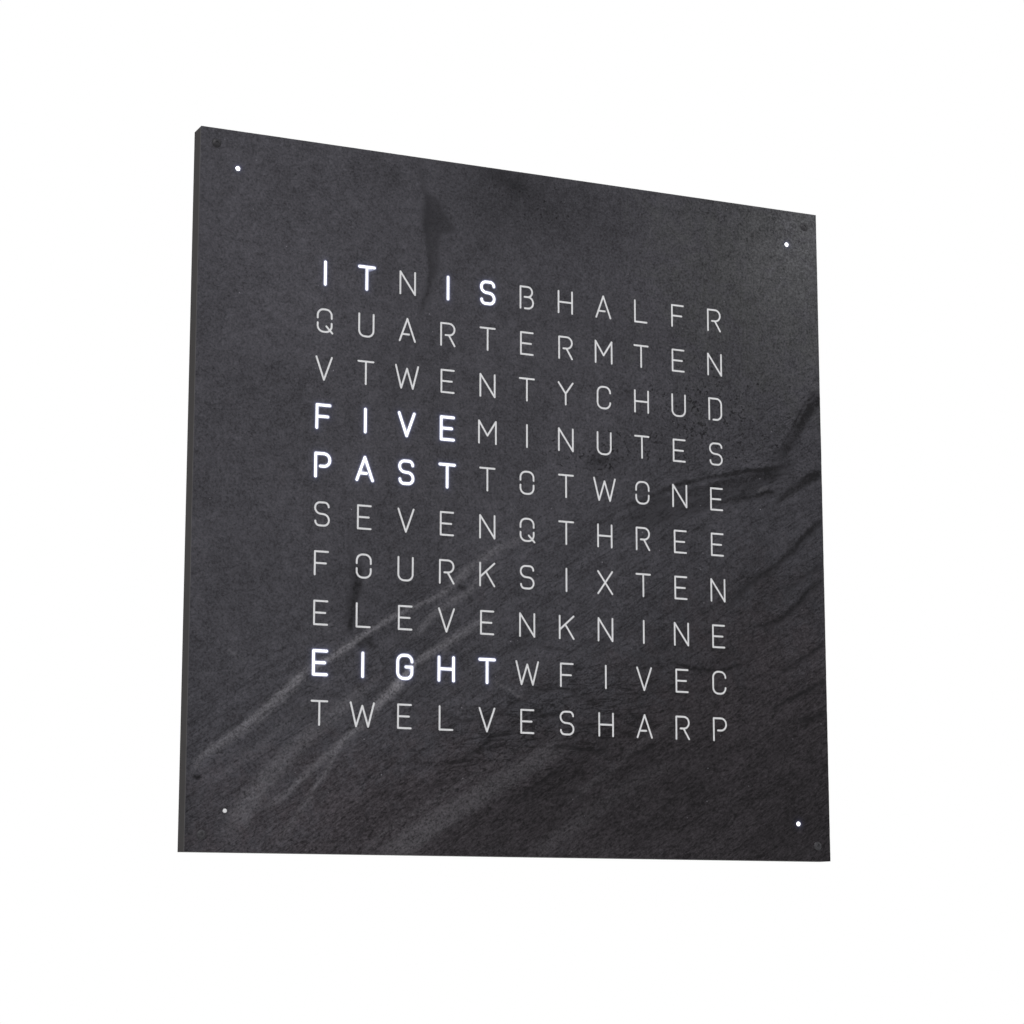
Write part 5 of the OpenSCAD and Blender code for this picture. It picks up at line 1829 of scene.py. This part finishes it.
@dataclass
class ScrewSet:
    """All screws of one kind, as one piece that stands for their CAD node."""

    name: str
    node: str
    slot: str
    screw: SocketScrew
    places: Sequence[Place]
    axis: tuple[int, int, int]

    def build(self, material: Material) -> None:
        """Turns the screws, each with its socket at an angle of its own.

        Args:
            material: finish of the screws.
        """
        rng = np.random.default_rng(len(self.places))
        parts = []
        for place in self.places:
            points, faces = turned(self.screw.rows())
            turn = rng.uniform(0, math.pi / 3)
            c, s = math.cos(turn), math.sin(turn)
            points = points @ np.array([[c, s, 0], [-s, c, 0], [0, 0, 1.0]])
            parts.append(placed((points, faces), place, self.axis))
        add_piece(self.name, merge_parts(parts), material, [self.node], crease=28.0)


@dataclass
class MinuteLights:
    """Stepped light pins behind the minute dots; the lit ones have a lamp on."""

    lit: ClassVar[tuple[tuple[int, int], ...]] = ((-1, 1), (1, 1), (1, -1))
    radius: float = 1.35
    flange: float = 2.5
    edge: float = 0.18

    def pin(self, s: int, t: int, surface: SlateSurface) -> Solid:
        """One pin, its tip level with the stone round it.

        Args:
            s: -1 for the left and 1 for the right.
            t: -1 for the bottom and 1 for the top.
            surface: the stone.

        Returns:
            Points and face groups.
        """
        x, z = s * DialFace.dot_place, t * DialFace.dot_place
        height = float(surface.sample(np.array([x]), np.array([z])).height[0])
        back, step, tip = -span("minute_lenses", 1)[1], -Y_STEEL_BACK, -Y_FRONT + height
        rows = [
            (self.flange - self.edge, back), (self.flange, back + self.edge),
            (self.flange, step - self.edge), (self.flange - self.edge, step - 0.02),
            (self.radius + 0.05, step), (self.radius, step + 0.1),
            (self.radius, tip - 0.3), (0.95 * self.radius, tip - 0.12),
            (0.8 * self.radius, tip - 0.03), (0.4 * self.radius, tip),
        ]
        return placed(turned(rows, 28), (x, 0, z), FRONTWARD)

    def build(self, surface: SlateSurface, bright: Material, pale: Material) -> None:
        """Makes the lit pins and the dark one.

        Args:
            surface: the stone.
            bright: finish of a lit pin.
            pale: finish of a dark pin.
        """
        for name, material, lit in (
            ("minute_lights_lit", bright, True), ("minute_light_unlit", pale, False),
        ):
            pins = [self.pin(s, t, surface) for s, t in CORNERS if ((s, t) in self.lit) is lit]
            stands_for = ["minute_lenses"] if lit else ()
            add_piece(name, merge_parts(pins), material, stands_for)


@dataclass
class EdgeButton:
    """A push button in the right-hand edge, with a dished cap and a collar inside."""

    name: str
    node: str
    body: str
    diameter: float = 5.0
    collar_step: float = 1.3
    collar_thickness: float = 1.5
    collar_edge: float = 0.2
    root: float = 0.12
    round_over: float = 0.45
    dish: float = 0.22

    def build(self, material: Material) -> None:
        """Turns the button about its line of travel.

        The cap's edge is a quarter circle, and its face is a bowl whose depth falls with the square
        of the radius.

        Args:
            material: finish of the button.
        """
        inner, outer = span(self.node, 0)
        radius, collar = self.diameter / 2, self.diameter / 2 + self.collar_step
        step = inner + self.collar_thickness
        eased, over = collar - self.collar_edge, self.round_over
        rows = [(eased, inner), (collar, inner + self.collar_edge), (collar, step - self.collar_edge),
                (eased, step), (radius + self.root, step), (radius, step + self.root)]
        for turn in np.linspace(0, math.pi / 2, 7):
            rows.append((radius - over * (1 - math.cos(turn)), outer - over * (1 - math.sin(turn))))
        for share in (0.85, 0.65, 0.45, 0.25, 0.08):
            rows.append((share * (radius - over), outer - self.dish * (1 - share**2)))
        part = placed(turned(rows, 36), (0.0, middle(self.node, 1), middle(self.node, 2)), RIGHTWARD)
        add_piece(self.name, part, material, [self.node], self.body, crease=30.0)


@dataclass
class ButtonBushes:
    """The bushes that the edge buttons run in, with a small lead-in at the mouth."""

    wall: float = 1.3
    play: float = 0.2
    lead_in: float = 0.35
    edge: float = 0.15

    def build(self, material: Material) -> None:
        """Turns a tube for each button.

        Args:
            material: finish of the bushes.
        """
        inner, outer = span("button_bushes", 0)
        bore = EdgeButton.diameter / 2 + self.play
        rim = bore + self.wall
        rows = [(bore, inner), (rim, inner), (rim, outer - self.edge), (rim - self.edge, outer),
                (bore + self.lead_in, outer), (bore + 0.1, outer - 0.12), (bore, outer - self.lead_in)]
        parts = []
        for node in ("hour_button", "minute_button", "brightness_button"):
            parts.append(placed(turned_tube(rows), (0.0, middle(node, 1), middle(node, 2)), RIGHTWARD))
        add_piece("edge_button_bushes", merge_parts(parts), material, ["button_bushes"],
                  crease=30.0)


# ---- The back ----


def rounded_ring(half_width: float, half_height: float, radius: float, steps: int = 8) -> Array:
    """Rectangle with round corners: four quarter circles joined by straight runs.

    Args:
        half_width: half of its width.
        half_height: half of its height.
        radius: radius of the corners.
        steps: runs in a corner.

    Returns:
        Its points, counterclockwise.
    """
    turn = np.linspace(0, math.pi / 2, steps + 1)
    arcs = []
    for quarter, (s, t) in enumerate(((1, 1), (-1, 1), (-1, -1), (1, -1))):
        angle = turn + quarter * math.pi / 2
        centre = np.array([s * (half_width - radius), t * (half_height - radius)])
        arcs.append(centre + radius * np.stack([np.cos(angle), np.sin(angle)], -1))
    return np.concatenate(arcs)


def circle(x: float, z: float, radius: float, count: int = 28) -> Array:
    """Points round a circle, counterclockwise."""
    turn = angles_round(count)
    return np.stack([x + radius * np.cos(turn), z + radius * np.sin(turn)], -1)


def at_depth(ring: Array, y: float | Array) -> Array:
    """Flat points stood in the clock's frame at one place along Y, or each at its own."""
    return np.stack([ring[:, 0], np.full(len(ring), y), ring[:, 1]], -1)


def sheet(loops: Sequence[Array], y: float) -> Solid:
    """Flat faces inside the first loop and outside all others, at a place along Y."""
    spots, triangles = flat_fill(loops)
    return at_depth(spots, y), [triangles]


def band(*rings: tuple[Array, float]) -> Solid:
    """Faces that join closed flat rings of equal count, one to the next, each at its place along Y."""
    points = [at_depth(ring, y) for ring, y in rings]
    return np.concatenate(points), [ring_faces(len(points), len(points[0]))]


@dataclass
class PressedCover:
    """The rear cover: a pan pressed from one sheet, with round bends, a flange and vents."""

    thickness: float = 1.0
    flange: float = 10.0
    flange_corner: float = 9.0
    pan_corner: float = 6.0
    foot_bend: float = 1.0
    floor_bend: float = 1.0
    bend_margin: float = 0.8
    screw_hole: float = 1.6
    screw_along: float = 110.0
    vent_count: int = 12
    vent_pitch: float = 7.0
    vent_width: float = 2.5
    vent_height: float = 34.0
    vent_place: float = 92.0
    edge: float = 0.18

    def __post_init__(self) -> None:
        """Reads the outer sizes from the frame."""
        self.half_width, self.half_height = span("rear_cover", 0)[1], span("rear_cover", 2)[1]
        self.y_flange, self.y_floor = span("rear_cover", 1)
        self.y_top = self.y_flange + self.thickness

    def screw_places(self) -> list[tuple[float, float]]:
        """Middles of the flange's screw holes.

        Returns:
            x and z of each hole.
        """
        side, top = self.half_width - self.flange / 2, self.half_height - self.flange / 2
        along = self.screw_along
        return [(s * side, t * along) for s, t in CORNERS] + [(s * along, t * top) for s, t in CORNERS]

    def vents(self, spread: float) -> list[Array]:
        """Outlines of the vents.

        Args:
            spread: how much wider they are, on all sides.

        Returns:
            n by 2 points of each vent.
        """
        half_w, half_h = self.vent_width / 2 + spread, self.vent_height / 2 + spread
        slot = rounded_ring(half_w, half_h, half_w - 0.01, 4)
        across = (np.arange(self.vent_count) - (self.vent_count - 1) / 2) * self.vent_pitch
        return [slot + (x, t * self.vent_place) for t in (-1, 1) for x in across]

    def pan_ring(self, inset: float) -> Array:
        """Outline of the pan, moved inwards by an inset."""
        return rounded_ring(self.half_width - self.flange - inset, self.half_height - self.flange - inset,
                            self.pan_corner - inset)

    def bends(self, skin: float) -> list[tuple[Array, float]]:
        """Rings of one skin from the flange to the floor.

        Both bends are quarter circles about centres that the two skins share, so the sheet keeps its
        thickness round them.

        Args:
            skin: 0 for the outer skin, or the thickness for the inner one.

        Returns:
            Points and place along Y of each ring.
        """
        foot, crown = self.foot_bend + skin, self.floor_bend + self.thickness - skin
        y_foot = self.y_flange + self.thickness + self.foot_bend
        y_crown = self.y_floor - self.floor_bend - self.thickness
        centre = self.floor_bend + self.thickness
        turn = np.linspace(0, math.pi / 2, 6)
        rings = []
        for a in turn:
            rings.append((self.pan_ring(-self.foot_bend + foot * math.sin(a)), y_foot - foot * math.cos(a)))
        for a in turn:
            rings.append((self.pan_ring(centre - crown * math.cos(a)), y_crown + crown * math.sin(a)))
        return rings

    def build(self, material: Material) -> None:
        """Presses the cover.

        Args:
            material: finish of the cover.
        """
        y_top, y_floor, y_inside, edge = self.y_top, self.y_floor, self.y_floor - self.thickness, self.edge
        holes = [circle(x, z, self.screw_hole, 20) for x, z in self.screw_places()]
        outline = rounded_ring(self.half_width, self.half_height, self.flange_corner)
        eased = rounded_ring(self.half_width - edge, self.half_height - edge, self.flange_corner - edge)
        foot, floor = self.pan_ring(-self.foot_bend), self.pan_ring(self.floor_bend + self.thickness)
        # rings close to the bends keep the shading of the flats level
        outer = self.pan_ring(-self.foot_bend - self.bend_margin)
        inner = self.pan_ring(self.floor_bend + self.thickness + self.bend_margin)
        wide, narrow = self.vents(edge), self.vents(0.0)
        parts = [
            sheet([eased, outer, *holes], y_top), band((outer, y_top), (foot, y_top)),
            sheet([outline, foot, *holes], self.y_flange),
            band((outline, self.y_flange), (outline, y_top - edge), (eased, y_top)),
            band(*self.bends(0.0)), band(*self.bends(self.thickness)),
            band((floor, y_floor), (inner, y_floor)),
            sheet([inner, *wide], y_floor), sheet([floor, *narrow], y_inside),
            *(band((hole, y_top), (hole, self.y_flange)) for hole in holes),
            *(band((w, y_floor), (n, y_floor - edge), (n, y_inside)) for w, n in zip(wide, narrow)),
        ]
        add_piece("pressed_rear_cover", merge_parts(parts), material, ["rear_cover"],
                  crease=32.0, welded=True)


@dataclass
class HangerPlates:
    """Two steel plates with a keyhole for a wall screw and two countersunk holes."""

    width: float = 46.0
    height: float = 24.0
    corner: float = 2.7
    edge: float = 0.22
    keyhole: float = 4.75
    slot: float = 2.5
    slot_length: float = 8.0
    screw_along: float = 17.5
    sink_wide: float = 3.05
    sink_narrow: float = 1.55
    sink_land: float = 0.1
    across: float = 120.0

    def __post_init__(self) -> None:
        """Reads the plates' places from the frame."""
        self.y_front, self.y_back = span("hanger_plates", 1)
        self.z_middle = middle("hanger_plates", 2)

    def keyhole_ring(self, spread: float) -> Array:
        """Keyhole: a large circle below, joined to a half circle above by a straight slot.

        Args:
            spread: how much wider it is, on all sides.

        Returns:
            Its points, counterclockwise.
        """
        big, small = self.keyhole + spread, self.slot + spread
        join = math.asin(small / big)
        around = np.linspace(math.pi / 2 + join, 2.5 * math.pi - join, 28)
        over = np.linspace(0, math.pi, 12)
        low = -self.slot_length / 2
        bottom = np.stack([big * np.cos(around), low + big * np.sin(around)], -1)
        top = np.stack([small * np.cos(over), low + self.slot_length + small * np.sin(over)], -1)
        return np.concatenate([bottom, top])

    def plate(self, x: float) -> Solid:
        """One plate, with its punched edges eased on the back.

        Args:
            x: middle of the plate.

        Returns:
            Points and face groups.
        """
        move = np.array([x, self.z_middle])
        y_front, y_back = self.y_front, self.y_back
        outline = [rounded_ring(self.width / 2 - e, self.height / 2 - e, self.corner - e) + move
                   for e in (0, self.edge)]
        keyhole = [self.keyhole_ring(e) + move for e in (0, self.edge)]
        radii = (self.sink_narrow, self.sink_wide)
        sinks = [[circle(x + s * self.screw_along, self.z_middle, radius) for radius in radii]
                 for s in (-1, 1)]
        return merge_parts([
            sheet([outline[1], keyhole[1], *(sink[1] for sink in sinks)], y_back),
            sheet([outline[0], keyhole[0], *(sink[0] for sink in sinks)], y_front),
            *(band((sharp, y_front), (sharp, y_back - self.edge), (eased, y_back))
              for sharp, eased in (outline, keyhole)),
            *(band((narrow, y_front), (narrow, y_front + self.sink_land), (wide, y_back))
              for narrow, wide in sinks),
        ])

    def build(self, material: Material) -> None:
        """Makes both plates.

        Args:
            material: finish of the plates.
        """
        plates = merge_parts([self.plate(s * self.across) for s in (-1, 1)])
        add_piece("keyhole_hanger_plates", plates, material, ["hanger_plates"], crease=30.0,
                  welded=True)


# ---- Studio ----


@dataclass
class Studio:
    """The photograph's camera, a pale floor and plain soft light. Lengths here are metres.

    A lamp's row is its name, place, target, size and power. The floor fades to white between the
    two distances of its fade.
    """

    lens: float = 84.87
    sensor: float = 36.0
    clip: tuple[float, float] = (0.05, 50.0)
    camera_place: Place = (-0.65862, -1.41229, -0.27550)
    camera_heading: Place = (0.41542, 0.89289, 0.17372)
    floor_height: float = -0.70
    floor_half: float = 5.0
    floor_fade: tuple[float, float] = (1.2, 3.6)
    world_level: float = 0.42
    lamps: tuple[tuple[str, Place, Place, float, float], ...] = (
        ("key", (-1.55, -1.6, 1.95), (0.0, 0.0, 0.05), 1.0, 40.0),
        ("sheen", (1.5, -1.9, 1.05), (0.2, 0.0, 0.2), 0.9, 10.0),
        ("back", (1.1, 2.6, 1.5), (0.0, 0.0, 0.0), 1.6, 55.0),
    )

    def make_camera(self) -> None:
        """Sets the camera where the photograph was taken from."""
        data = bpy.data.cameras.new("camera")
        data.lens, data.sensor_width = self.lens, self.sensor
        data.clip_start, data.clip_end = self.clip
        camera = new_object("camera", data)
        camera.location = self.camera_place
        camera.rotation_euler = aim(Vector(self.camera_heading))
        bpy.context.scene.camera = camera

    def make_floor(self) -> None:
        """Lays a pale floor that fades to white far out, for the camera alone."""
        h, z = self.floor_half, self.floor_height
        near, far = self.floor_fade
        mesh = bpy.data.meshes.new("floor")
        mesh.from_pydata([(-h, -h, z), (h, -h, z), (h, h, z), (-h, h, z)], [], [(0, 1, 2, 3)])
        floor = new_object("floor", mesh)
        material, tree, shader = Finish("pale_floor", "#ececec", 0.8).start()
        place = add(tree, "TexCoord").outputs["Object"]
        reach = add(tree, "VectorMath", {0: place}, operation="LENGTH").outputs["Value"]
        fade = add(tree, "MapRange", {0: reach, 1: near, 2: far}, interpolation_type="SMOOTHSTEP")
        seen = add(tree, "LightPath").outputs["Is Camera Ray"]
        share = add(tree, "Math", {0: fade, 1: seen}, operation="MULTIPLY")
        white = add(tree, "Emission", {"Color": WHITE, "Strength": 1.0})
        mixed = add(tree, "MixShader", {0: share, 1: shader, 2: white})
        output = next(node for node in tree.nodes if node.type == "OUTPUT_MATERIAL")
        fill(tree, output, {"Surface": mixed})
        mesh.materials.append(material)

    def make_world(self) -> None:
        """Shows plain white to the camera, to gloss and through glass, and lights softly."""
        world = bpy.data.worlds.new("studio")
        world.use_nodes = True
        tree = world.node_tree
        tree.nodes.clear()
        path = add(tree, "LightPath")
        seen = path.outputs["Is Camera Ray"]
        for ray in ("Is Glossy Ray", "Is Transmission Ray"):
            seen = add(tree, "Math", {0: seen, 1: path.outputs[ray]}, operation="MAXIMUM")
        soft = add(tree, "Background", {"Color": WHITE, "Strength": self.world_level})
        white = add(tree, "Background", {"Color": WHITE, "Strength": 1.0})
        mixed = add(tree, "MixShader", {0: seen, 1: soft, 2: white})
        add(tree, "OutputWorld", {"Surface": mixed})
        bpy.context.scene.world = world

    def make_lamps(self) -> None:
        """Hangs the soft lamps round the clock."""
        for name, place, target, size, power in self.lamps:
            data = bpy.data.lights.new(name, "AREA")
            data.size, data.energy = size, power
            lamp = new_object(name, data)
            lamp.location = place
            lamp.rotation_euler = aim(Vector(target) - Vector(place))

    def build(self) -> None:
        """Sets up everything that isn't the clock."""
        bpy.context.scene.view_settings.view_transform = "Standard"
        self.make_camera()
        self.make_floor()
        self.make_world()
        self.make_lamps()


def dress_frame(finishes: dict[str, Material]) -> None:
    """Gives every CAD node the finish of its slot.

    Args:
        finishes: material of each slot.
    """
    for part in frame["record"]["subparts"]:
        node = frame["nodes"][part["node"]]
        node.data.materials.clear()
        node.data.materials.append(finishes[part["material_slot"]])


def build_fastenings(finishes: dict[str, Material], surface: SlateSurface) -> None:
    """Makes the screws, lights and buttons.

    Args:
        finishes: material of each slot.
        surface: the stone, for the height of the lights.
    """
    place = DialFace.screw_place
    places = [(s * place, Y_FRONT, t * place) for s, t in CORNERS]
    screw = SocketScrew(3.0, 1.35, 1.45, 11.0, skirt=0.45)
    screws = ScrewSet("corner_screw_heads", "corner_screws", "black_screw", screw, places, FRONTWARD)
    screws.build(SLATE_GREY_SCREW.material())
    MinuteLights().build(surface, LIGHT_PIN.material(), finishes["opal_acrylic"])
    for name in ("hour", "minute", "brightness"):
        button = EdgeButton(f"{name}_button_cap", f"{name}_button", f"{name}_key")
        button.build(finishes["button_plastic"])
    ButtonBushes().build(finishes["black_plastic"])


def build_back(finishes: dict[str, Material]) -> None:
    """Makes the cover, the hangers and their screws.

    Args:
        finishes: material of each slot.
    """
    cover = PressedCover()
    cover.build(finishes["cover_steel"])
    places = [(x, cover.y_top, z) for x, z in cover.screw_places()]
    screw = SocketScrew(2.7, 1.5, 1.45, 8.8)
    screws = ScrewSet("rear_cover_screw_set", "rear_cover_screws", "black_screw", screw, places, BACKWARD)
    screws.build(finishes["black_screw"])
    hangers = HangerPlates()
    hangers.build(finishes["zinc_steel"])
    places = [(s * hangers.across + t * hangers.screw_along, hangers.y_back, hangers.z_middle)
              for s, t in CORNERS]
    screw = CountersunkScrew(3.0, 1.5, 1.5, 9.0, socket_floor=0.9)
    screws = ScrewSet("hanger_screw_set", "hanger_screws", "zinc_steel", screw, places, BACKWARD)
    screws.build(finishes["zinc_steel"])


def main() -> None:
    """Builds the clock's looks in order and reports each piece."""
    Studio().build()
    finishes = {slot: finish.material() for slot, finish in SLOT_FINISHES.items()}
    dress_frame(finishes)
    dial = DialFace()
    dial.build(finishes["slate"], finishes["opal_acrylic"], finishes["lit_acrylic"])
    build_fastenings(finishes, dial.surface)
    build_back(finishes)


if __name__ == "__main__":
    logging.basicConfig(level=logging.INFO, format="%(message)s")
    main()
